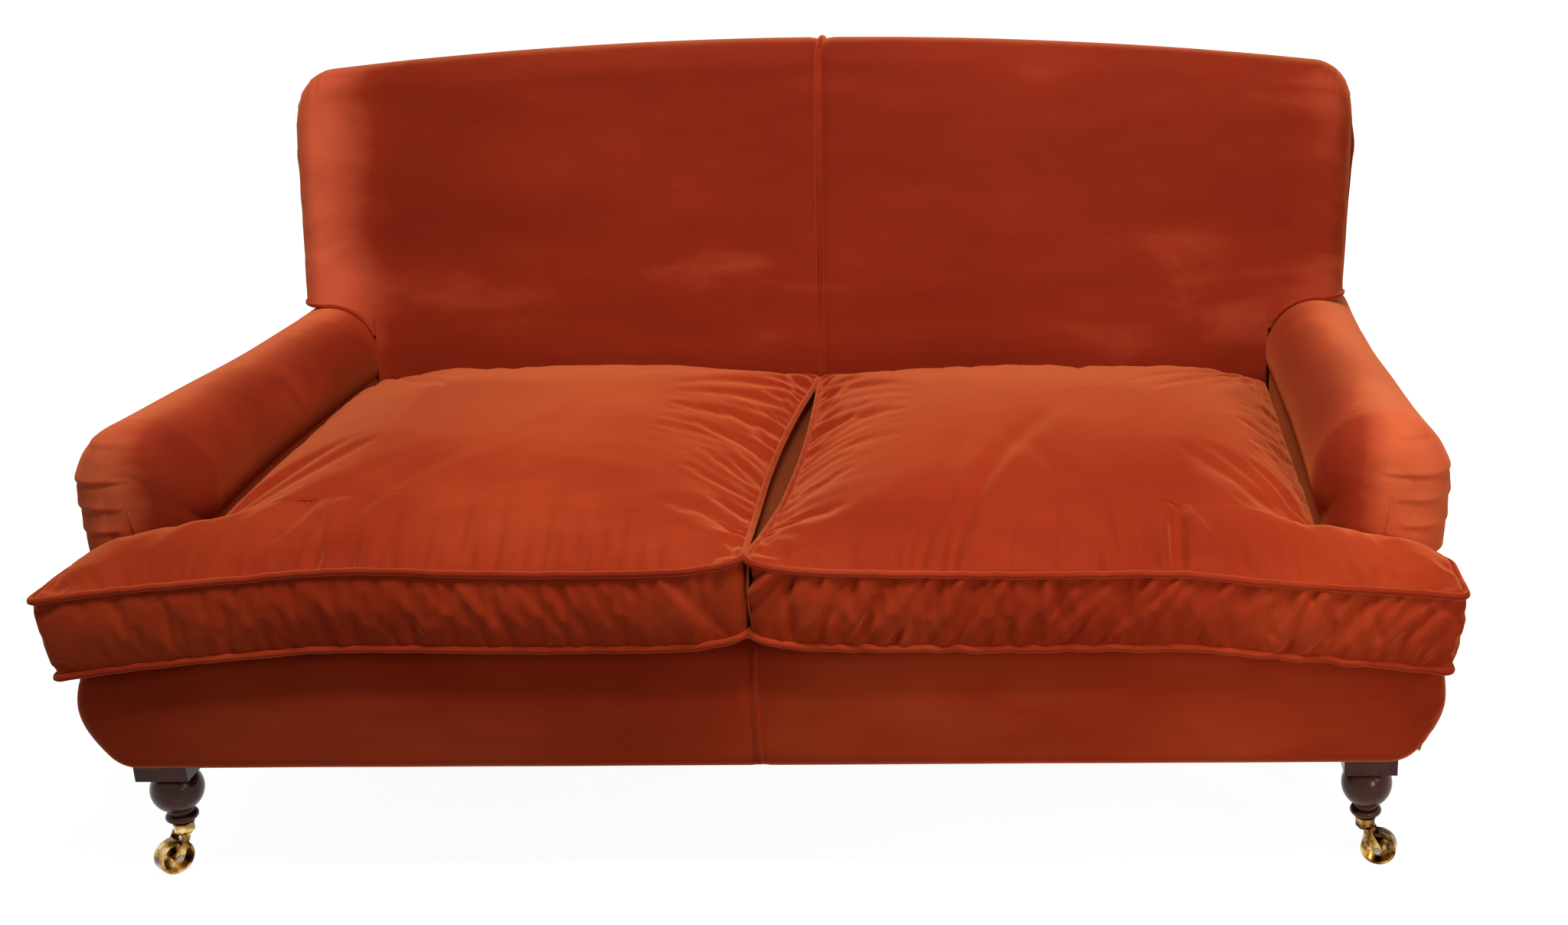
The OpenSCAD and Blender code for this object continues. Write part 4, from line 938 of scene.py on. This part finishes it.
# The cover is one strip over face, roll and rear, closed by a foot and two end panels
def makeBack():
    b = back
    grid = backGrid()
    rows = len(grid)
    inside = ease(np.minimum(1, np.arange(rows) / b["turnedRows"]))[:, None, None]
    grid = grid + gridNormals(grid) * (backSoftness(grid)[..., None] * inside)
    # Each end panel runs from the face to the rear, with a slight fullness
    half = rows // 2
    ends = []
    for column in (0, -1):
        line = grid[:, column]
        t = np.linspace(0, 1, b["endRows"])[:, None, None]
        end = mix(line[None, :half + 1], line[None, ::-1][:, :half + 1], t)
        end[..., 0] += np.sign(line[0, 0]) * b["endPuff"] * np.sin(math.pi * t[..., 0])
        ends.append(end)
    floor = np.stack([grid[0], grid[-1]])
    piece = makePiece("backCover", [grid, floor] + ends)
    dress(piece, "velvetBack", "sofa", ["back_pad"])
    # Piping down the middle of the face and over the top
    seam = grid[:b["faceRows"] + b["rollRows"], b["columns"] // 2]
    path = alongPath(seam, np.linspace(b["pipingStart"], 1, b["pipingPoints"]))
    out = unit(np.stack([np.zeros(len(path)), -np.gradient(path[:, 2]), np.gradient(path[:, 1])], -1))
    makePiping("backCentrePiping", path + out * b["pipingProud"], out, b["pipingRadius"])
    # A welt where the cover's lower edge is turned under over each arm
    for name, side in sides.items():
        overArm = side * grid[1, :, 0] > b["innerX"] + b["weltGap"]
        path = alongPath(grid[1][overArm], np.linspace(0.01, 0.99, b["weltPoints"]))
        makePiping(name + "BackWelt", path, np.tile([0.0, -1.0, 0.0], (len(path), 1)), b["weltRadius"])
    print("back made")


# Arms

# Centre line of the roll, which spreads towards the front
def armCentreX(y):
    return arm["x"] + np.maximum(0, backY - y) * sofa["splay"]


# Radius of the roll, which swells towards the front
def armRadius(y):
    share = np.clip((backY - y) / (backY - arm["frontY"]), 0, 1)
    return mix(arm["rearRadius"], arm["frontRadius"], share ** 2)


# Half width of the frame, which spreads towards the front
def sideX(y):
    return sofa["frameX"] + (back["planeY"] - sofa["postDepth"] - y) * sofa["splay"]


# Section of the arm: out from the side rail under the roll, round the roll and down the inner wall
# The section shrinks along a quarter circle at the front; there the roll's outer side drops straight down
def armGrid():
    a = arm
    body = np.linspace(a["rearY"], a["frontY"] + a["noseRadius"], a["lengthSteps"])
    nose = a["frontY"] + a["noseRadius"] * (1 - np.sin(np.linspace(0, math.pi / 2, a["noseSteps"])[1:]))
    y = np.concatenate([body, nose])[:, None]
    inset = rounding(y - a["frontY"], a["noseRadius"])
    r, cx = armRadius(y) - inset, armCentreX(y)
    straight = ease((a["frontY"] + a["stemLength"] - y) / a["stemLength"])
    # The inner wall stands under the roll, or level with it where the roll is smaller: a smooth least
    power = a["wallBlend"]
    wall = cx - (a["rearRadius"] ** -power + r ** -power) ** (-1 / power)
    rollEnd = math.pi + np.arccos(np.clip((cx - wall) / r, -1, 1))
    turn = mix(a["rollStart"], rollEnd, np.linspace(0, 1, a["rollSteps"])[None, :])
    drop = mix(-r * math.sin(a["rollStart"]), a["stemHeight"], straight)
    below = turn < 0
    x = cx + r * np.where(below, mix(np.cos(turn), 1, straight), np.cos(turn))
    z = a["z"] + np.where(below, -drop * np.sin(turn) / math.sin(a["rollStart"]), r * np.sin(turn))
    roll = np.stack([x, y + 0 * turn, z], -1)
    t = np.linspace(0, 1, a["underSteps"])[None, :-1]
    railX = np.minimum(sideX(y), x[:, :1]) - a["railGap"] - inset * 0.5
    under = np.stack([mix(railX, x[:, :1], t), y + 0 * t, mix(z[:, :1] - a["railDrop"], z[:, :1], t)], -1)
    t = np.linspace(0, 1, a["wallSteps"])[None, 1:]
    inner = np.stack([wall + 0 * t, y + 0 * t, mix(z[:, -1:], a["seatZ"], t)], -1)
    return np.concatenate([under, roll, inner], 1)


# Folds of the cover gathered over the front, as heights: above each line the cloth stands proud,
# and it drops in a sharp step below; the lines fall a little outwards and fade towards the inner side
def armPleats(grid, seed):
    a = arm
    draw = np.random.default_rng(seed)
    out = grid[..., 0] - armCentreX(grid[..., 1])
    behind = grid[..., 1] - a["frontY"]
    height = np.zeros(out.shape)
    for place, depth, reach in a["pleats"]:
        bow = draw.uniform(0.0, a["pleatBow"]) * (behind - a["pleatBowFrom"])
        over = grid[..., 2] - a["z"] - place - a["pleatSlope"] * (a["pleatOut"] - out) - bow
        above = 1 / (1 + np.exp(-np.clip(over / a["pleatStep"], -40, 40)))
        hollow = a["hollowDepth"] * (1 - above) * bell(over / a["hollowWidth"])
        pleat = above * bell(over / a["pleatFull"]) - hollow
        inner = draw.uniform(*a["pleatInner"])
        nearFront = ease((reach - behind) / a["pleatFade"])
        height += depth * pleat * nearFront * ease((out - inner) / a["pleatFade"])
    return height


# Heights to add to an arm: its pleats and a slow unevenness
def armSoftness(grid, side):
    height, length = arm["unevenness"]
    return armPleats(grid, 31 + side) + height * ripples(grid, length, 21 + side)


# The foot of the front closes it between the inner wall and the outside panel
def armFoot(ring):
    a = arm
    low = ring[:, 0].min() + a["footInner"]
    x = np.linspace(low, sideX(a["frontY"]) + a["footGap"], a["footColumns"])[None, :]
    z = np.linspace(a["seatZ"], a["z"] - a["stemHeight"] + a["footOver"], a["footRows"])[:, None]
    face = np.stack([x + 0 * z, a["frontY"] + a["footGap"] + 0 * (x + z), z + 0 * x], -1)
    return closedPanel(face, face + np.array([0, a["footThickness"], 0]))


# The section's strip is closed by caps drawn to the middle of its front and rear rings
def makeArms():
    a = arm
    for name, side in sides.items():
        grid = armGrid()
        ring = grid[-1]
        t = np.linspace(0, 1, a["capSteps"])[:, None, None]
        front = mix(ring[None], ring.mean(0), t) - np.array([0, a["frontBulge"], 0]) * np.sin(t * math.pi / 2)
        away = ease(np.minimum(1, np.arange(grid.shape[1]) / a["stillSteps"]))[None, :]
        normal = gridNormals(grid)
        normal[-1] = (0, -1, 0)
        grid, front = (part + outward * (armSoftness(part, side) * away)[..., None]
                       for part, outward in ((grid, normal), (front, normal[-1])))
        rear = mix(grid[0][None], grid[0].mean(0), t)
        t = np.linspace(0, 1, a["closingSteps"])[:, None, None]
        closings = [mix(part[:, 0], part[:, -1], t) for part in (grid, front, rear)]
        grids = [grid, front, rear] + closings + armFoot(ring)
        piece = makePiece(name + "ArmCover", mirrored(grids, side))
        dress(piece, "velvetArm", "sofa", [name + "_arm_pad"])
    print("arms made")


# Outside panels of the arms and back

panel = {
    "footZ": 0.167, "thickness": 0.012, "frontY": sofa["frontY"] + 0.056, "topZ": 0.450, "frontTopZ": 0.414,
    "earTopZ": 0.300, "earGap": 0.02,       # below the cushion's ear until just behind the arm's front
    "rearGap": 0.002, "columns": 80, "rows": 50,
    "edges": (20, 14),          # how tightly its fullness turns in at the edges
    "unevenness": (0.0015, 0.3),            # height and length
}
outsideBack = {
    "thickness": 0.0055, "inFront": 0.001, "topRise": 0.003, "flareHeight": 0.4, "sideGap": 0.004,
    "cornerDrop": 0.05, "cornerFrom": 0.93, "rimRise": 0.02, "columns": 161, "rows": 90,
    "edges": (30, 24), "unevenness": (0.0012, 0.35),
}


# How full a panel stands, from 0 at its edges to 1; u and v run from -1 to 1
def fullness(u, v, powers):
    return ((1 - np.abs(u) ** powers[0]) * (1 - np.abs(v) ** powers[1])) ** 0.5


# Each panel is a flat base and a full outer face that meet all round
def makeOutsideArms():
    p = panel
    height, length = p["unevenness"]
    for name, side in sides.items():
        u = np.linspace(0, 1, p["columns"])[None, :]
        v = np.linspace(0, 1, p["rows"])[:, None]
        y = mix(p["frontY"], arm["rearY"], u) + 0 * v
        top = mix(p["frontTopZ"], p["topZ"], ease((y - arm["frontY"]) / arm["stemLength"]))
        top = np.where(y < arm["frontY"] + p["earGap"], np.minimum(top, p["earTopZ"]), top)
        z = mix(p["footZ"], top, v)
        y = mix(p["frontY"], rearPlaneY(z) - p["rearGap"], u)
        swell = fullness(2 * u - 1, 2 * v - 1, p["edges"])
        base = np.stack([sideX(y), y, z], -1)
        soft = height * ripples(base, length, 41 + side) * swell
        outer = base + np.array([1.0, sofa["splay"], 0]) * (p["thickness"] * swell + soft)[..., None]
        piece = makePiece(name + "OutsideArmCover", mirrored([outer, base], side))
        dress(piece, "velvet", "sofa", [name + "_outside_arm"])
    print("outside arms made")


# Its sides run straight up to the arms and then just within the back's; its top follows the arch
def makeOutsideBack():
    p, b = outsideBack, back
    share = np.linspace(-1, 1, p["columns"])[None, :]
    v = np.linspace(0, 1, p["rows"])[:, None]
    footZ, topZ = panel["footZ"], b["topRailZ"] + p["topRise"]
    z = mix(footZ, topZ + p["rimRise"], v)
    low = sideX(b["planeY"]) + panel["thickness"]
    flare = mix(low, b["lowX"], np.clip((z - footZ) / p["flareHeight"], 0, 1))
    half = np.where(z < b["overArmZ"], flare, backX(z) - p["sideGap"])
    arch = b["archRadius"] - np.sqrt(b["archRadius"] ** 2 - (share * half) ** 2)
    corner = np.clip((np.abs(share) - p["cornerFrom"]) / (1 - p["cornerFrom"]), 0, 1)
    height = mix(footZ, topZ - arch - p["cornerDrop"] * corner ** 2, v)
    swell = fullness(share, 2 * v - 1, p["edges"])
    base = np.stack([share * half, rearPlaneY(height) - p["inFront"], height], -1)
    uneven, length = p["unevenness"]
    soft = uneven * ripples(base, length, 44) * swell
    outer = base + np.array([0, 1, -math.tan(b["lean"])]) * (p["thickness"] * swell + soft)[..., None]
    dress(makePiece("outsideBackCover", [outer, base]), "velvet", "sofa", ["outside_back"])
    print("outside back made")


# Front border under the cushions

border = {
    "fullX": 0.868, "lowX": 0.824, "fullZ": 0.250, "frontY": sofa["frontY"] + 0.018, "depth": 0.036,
    "edge": 0.022, "columns": 300, "rows": 64, "topGap": 0.003, "topLean": 0.012,
    "topIn": 0.03, "topInHeight": 0.07,         # its ends draw in again towards the top
    "endShare": 0.04, "endDepth": 0.034, "puff": 0.003, "turnShare": 0.2,
    "grooveDepth": 0.003, "grooveWidth": 0.006, "pipingFrom": 0.12, "pipingTo": 0.9, "pipingPoints": 60,
    "unevenness": (0.0012, 0.25),           # height and length
    "creases": creaseRow(7, (0.176, 0.30), (0.02, 0.06), (0.004, 0.008), (0.0015, 0.003), (-0.6, 0.6)),
}


# The border's half width at a height: drawn in to the legs below, fullest at mid height
def borderX(z):
    b = border
    below = np.clip((z - sofa["undersideZ"]) / (b["fullZ"] - sofa["undersideZ"]), 0, 1)
    above = np.clip((z - b["fullZ"]) / b["topInHeight"], 0, 1)
    return b["lowX"] + (b["fullX"] - b["lowX"]) * np.sin(below * math.pi / 2) - b["topIn"] * above ** 3


# A round section carried from side to side, whose ends turn back round the corners
def makeBorder():
    b, e, turned = border, border["edge"], border["turnShare"]
    lowZ = sofa["undersideZ"]
    share = np.sin(np.linspace(-1, 1, b["columns"]) * math.pi / 2)[None, :]
    t = np.linspace(0, 1, b["rows"])[:, None]
    topZ = underZ(share * b["fullX"]) - b["topGap"]
    # Round section: out over the bottom edge, up the face and in over the top edge
    flat = np.clip((t - turned) / (1 - 2 * turned), 0, 1)
    lowArc, highArc = (np.clip((t - start) / turned, 0, 1) * math.pi / 2 for start in (0, 1 - turned))
    z = lowZ + e * (1 - np.cos(lowArc)) + (topZ - lowZ - 2 * e) * flat + e * np.sin(highArc)
    out = e * (1 - np.sin(lowArc)) + e * (1 - np.cos(highArc))
    ends = rounding(1 - np.abs(share), b["endShare"]) / b["endShare"] * b["endDepth"]
    groove = b["grooveDepth"] * bell(share * b["fullX"] / b["grooveWidth"])
    y = b["frontY"] + out + ends + groove - b["puff"] * np.sin(math.pi * flat) * (1 - share ** 6)
    y = y + b["topLean"] * ease((z - b["fullZ"]) / (topZ - b["fullZ"]))
    face = np.stack([share * borderX(z), np.minimum(y, b["frontY"] + b["depth"]), z], -1)
    distance = np.maximum(b["fullX"] - np.abs(face[..., 0]), 0)
    height, length = b["unevenness"]
    soft = height * ripples(face, length, 31) + folds(z + 0 * share, distance, b["creases"], 33) * (share > 0)
    face[..., 1] -= soft * np.sin(math.pi * t) ** 0.5
    rear = face.copy()
    rear[..., 1] = b["frontY"] + b["depth"]
    piece = makePiece("frontBorderCover", closedPanel(face, rear))
    dress(piece, "velvet", "sofa", ["front_border"])
    # Piping down the middle of the face, between its two middle columns
    seam = (face[:, b["columns"] // 2] + face[:, b["columns"] // 2 - 1]) / 2
    path = alongPath(seam, np.linspace(b["pipingFrom"], b["pipingTo"], b["pipingPoints"]))
    path[:, 0] = 0
    makePiping("borderCentrePiping", path, np.tile([0.0, -1.0, 0.0], (len(path), 1)), sofa["pipingRadius"])
    print("border made")


# CAD nodes that stay get better materials
def dressFrame():
    slotMaterials = {"timber": "timber", "jute": "jute", "cloth": "cloth", "dust_cloth": "dustCloth",
                     "dark_wood": "darkWood", "steel": "steel", "brass": "brass", "velvet": "velvet"}
    slots = {row["node"]: row["material_slot"] for row in frame["record"]["subparts"]}
    for name, node in frame["nodes"].items():
        finish = "stainedTimber" if name.endswith("back_post") else slotMaterials[slots[name]]
        node.data.materials.clear()
        node.data.materials.append(materials[finish])


# Camera, floor and light

camera = {
    "place": (0.4444, -2.5897, 1.3782), "pitch": 0.3193, "yaw": 0.01295, "roll": -0.0116,
    "focalPixels": 2487.6, "centrePixels": (1416.6, 507.9), "imagePixels": (2048, 1208),
}


# The picture's optical centre lies off its middle, so the lens is shifted
def makeCamera():
    c = camera
    made = addObject("camera", bpy.data.cameras.new("camera"))
    width, height = c["imagePixels"]
    made.data.lens = c["focalPixels"] / width * made.data.sensor_width
    made.data.shift_x = (width / 2 - c["centrePixels"][0]) / width
    made.data.shift_y = (c["centrePixels"][1] - height / 2) / width
    forward = Vector((-math.sin(c["yaw"]), math.cos(c["yaw"]), 0))
    right = Vector((math.cos(c["yaw"]), math.sin(c["yaw"]), 0))
    up = Vector((0, 0, 1))
    look = forward * math.cos(c["pitch"]) - up * math.sin(c["pitch"])
    top = forward * math.sin(c["pitch"]) + up * math.cos(c["pitch"])
    turnedRight = right * math.cos(c["roll"]) + top * math.sin(c["roll"])
    turnedUp = top * math.cos(c["roll"]) - right * math.sin(c["roll"])
    turned = Matrix((turnedRight, turnedUp, -look)).transposed().to_4x4()
    made.matrix_world = Matrix.Translation(c["place"]) @ turned
    scene.camera = made


studio = {
    "floorSize": 14.0, "floorColour": (0.28, 0.28, 0.275), "floorGlow": 0.93, "worldStrength": 0.09,
    "lamps": {      # place, watts, size, colour, what it is turned to, spread
        "key": ((0.2, -1.0, 3.2), 79.0, 0.8, (1.0, 0.96, 0.90), (0, 0, 0.45), math.pi),
        "fill": ((-2.4, -3.0, 2.4), 1.5, 2.2, (1.0, 0.92, 0.96), (0, 0, 0.45), math.pi),
        "side": ((3.0, -2.2, 1.8), 13.0, 0.9, (1.0, 0.88, 0.70), (0, 0, 0.45), math.pi),
        "rear": ((0.8, 3.2, 1.1), 13.0, 1.2, (1.0, 0.96, 0.90), (0, 0.47, 0.4), math.pi),
        "corner": ((1.5, -2.3, 0.8), 1.7, 0.5, (1.0, 0.86, 0.72), (0.62, -0.47, 0.28), 1.0),
    },
}


# 1 for what the camera sees, straight on, mirrored or through glass, and 0 for light that falls on things
def seenShare(tree):
    rays = tree.nodes.new("ShaderNodeLightPath")
    seen = rays.outputs["Is Camera Ray"]
    for way in ("Is Glossy Ray", "Is Transmission Ray"):
        most = tree.nodes.new("ShaderNodeMath")
        most.operation = "MAXIMUM"
        tree.links.new(seen, most.inputs[0])
        tree.links.new(rays.outputs[way], most.inputs[1])
        seen = most.outputs[0]
    return seen


# A pale floor that keeps the sofa's shadow, a pale world and the lamps
def makeStage():
    s = studio
    size = s["floorSize"]
    corners = [(-size, -size, 0), (size, -size, 0), (size, size, 0), (-size, size, 0)]
    mesh = bpy.data.meshes.new("floor")
    mesh.from_pydata(corners, [], [(0, 1, 2, 3)])
    floor = addObject("floor", mesh)
    shader = Shader("floor")
    shader.set(Base_Color=s["floorColour"], Roughness=0.7, Emission_Color=(1.0, 1.0, 1.0),
               Emission_Strength=Wire(shader, seenShare(shader.tree)) * s["floorGlow"])
    floor.data.materials.append(shader.material)
    world = bpy.data.worlds.new("studio")
    scene.world = world
    world.use_nodes = True
    tree = world.node_tree
    shade = tree.nodes["Background"]
    strength = tree.nodes.new("ShaderNodeMapRange")
    tree.links.new(seenShare(tree), strength.inputs["Value"])
    strength.inputs["To Min"].default_value = s["worldStrength"]
    strength.inputs["To Max"].default_value = 1.0
    tree.links.new(strength.outputs["Result"], shade.inputs["Strength"])
    shade.inputs["Color"].default_value = (1, 1, 1, 1)
    for name, (place, power, width, tint, aim, spread) in s["lamps"].items():
        lamp = addObject(name, bpy.data.lights.new(name, "AREA"))
        lamp.data.energy = power
        lamp.data.size = width
        lamp.data.color = tint
        lamp.data.spread = spread
        lamp.visible_camera = False
        lamp.location = place
        lamp.rotation_euler = (Vector(aim) - Vector(place)).to_track_quat("-Z", "Y").to_euler()
    scene.view_settings.view_transform = "Standard"


makeCamera()
dressFrame()
makeCushions()
makeBack()
makeArms()
makeOutsideArms()
makeOutsideBack()
makeBorder()
makeStage()
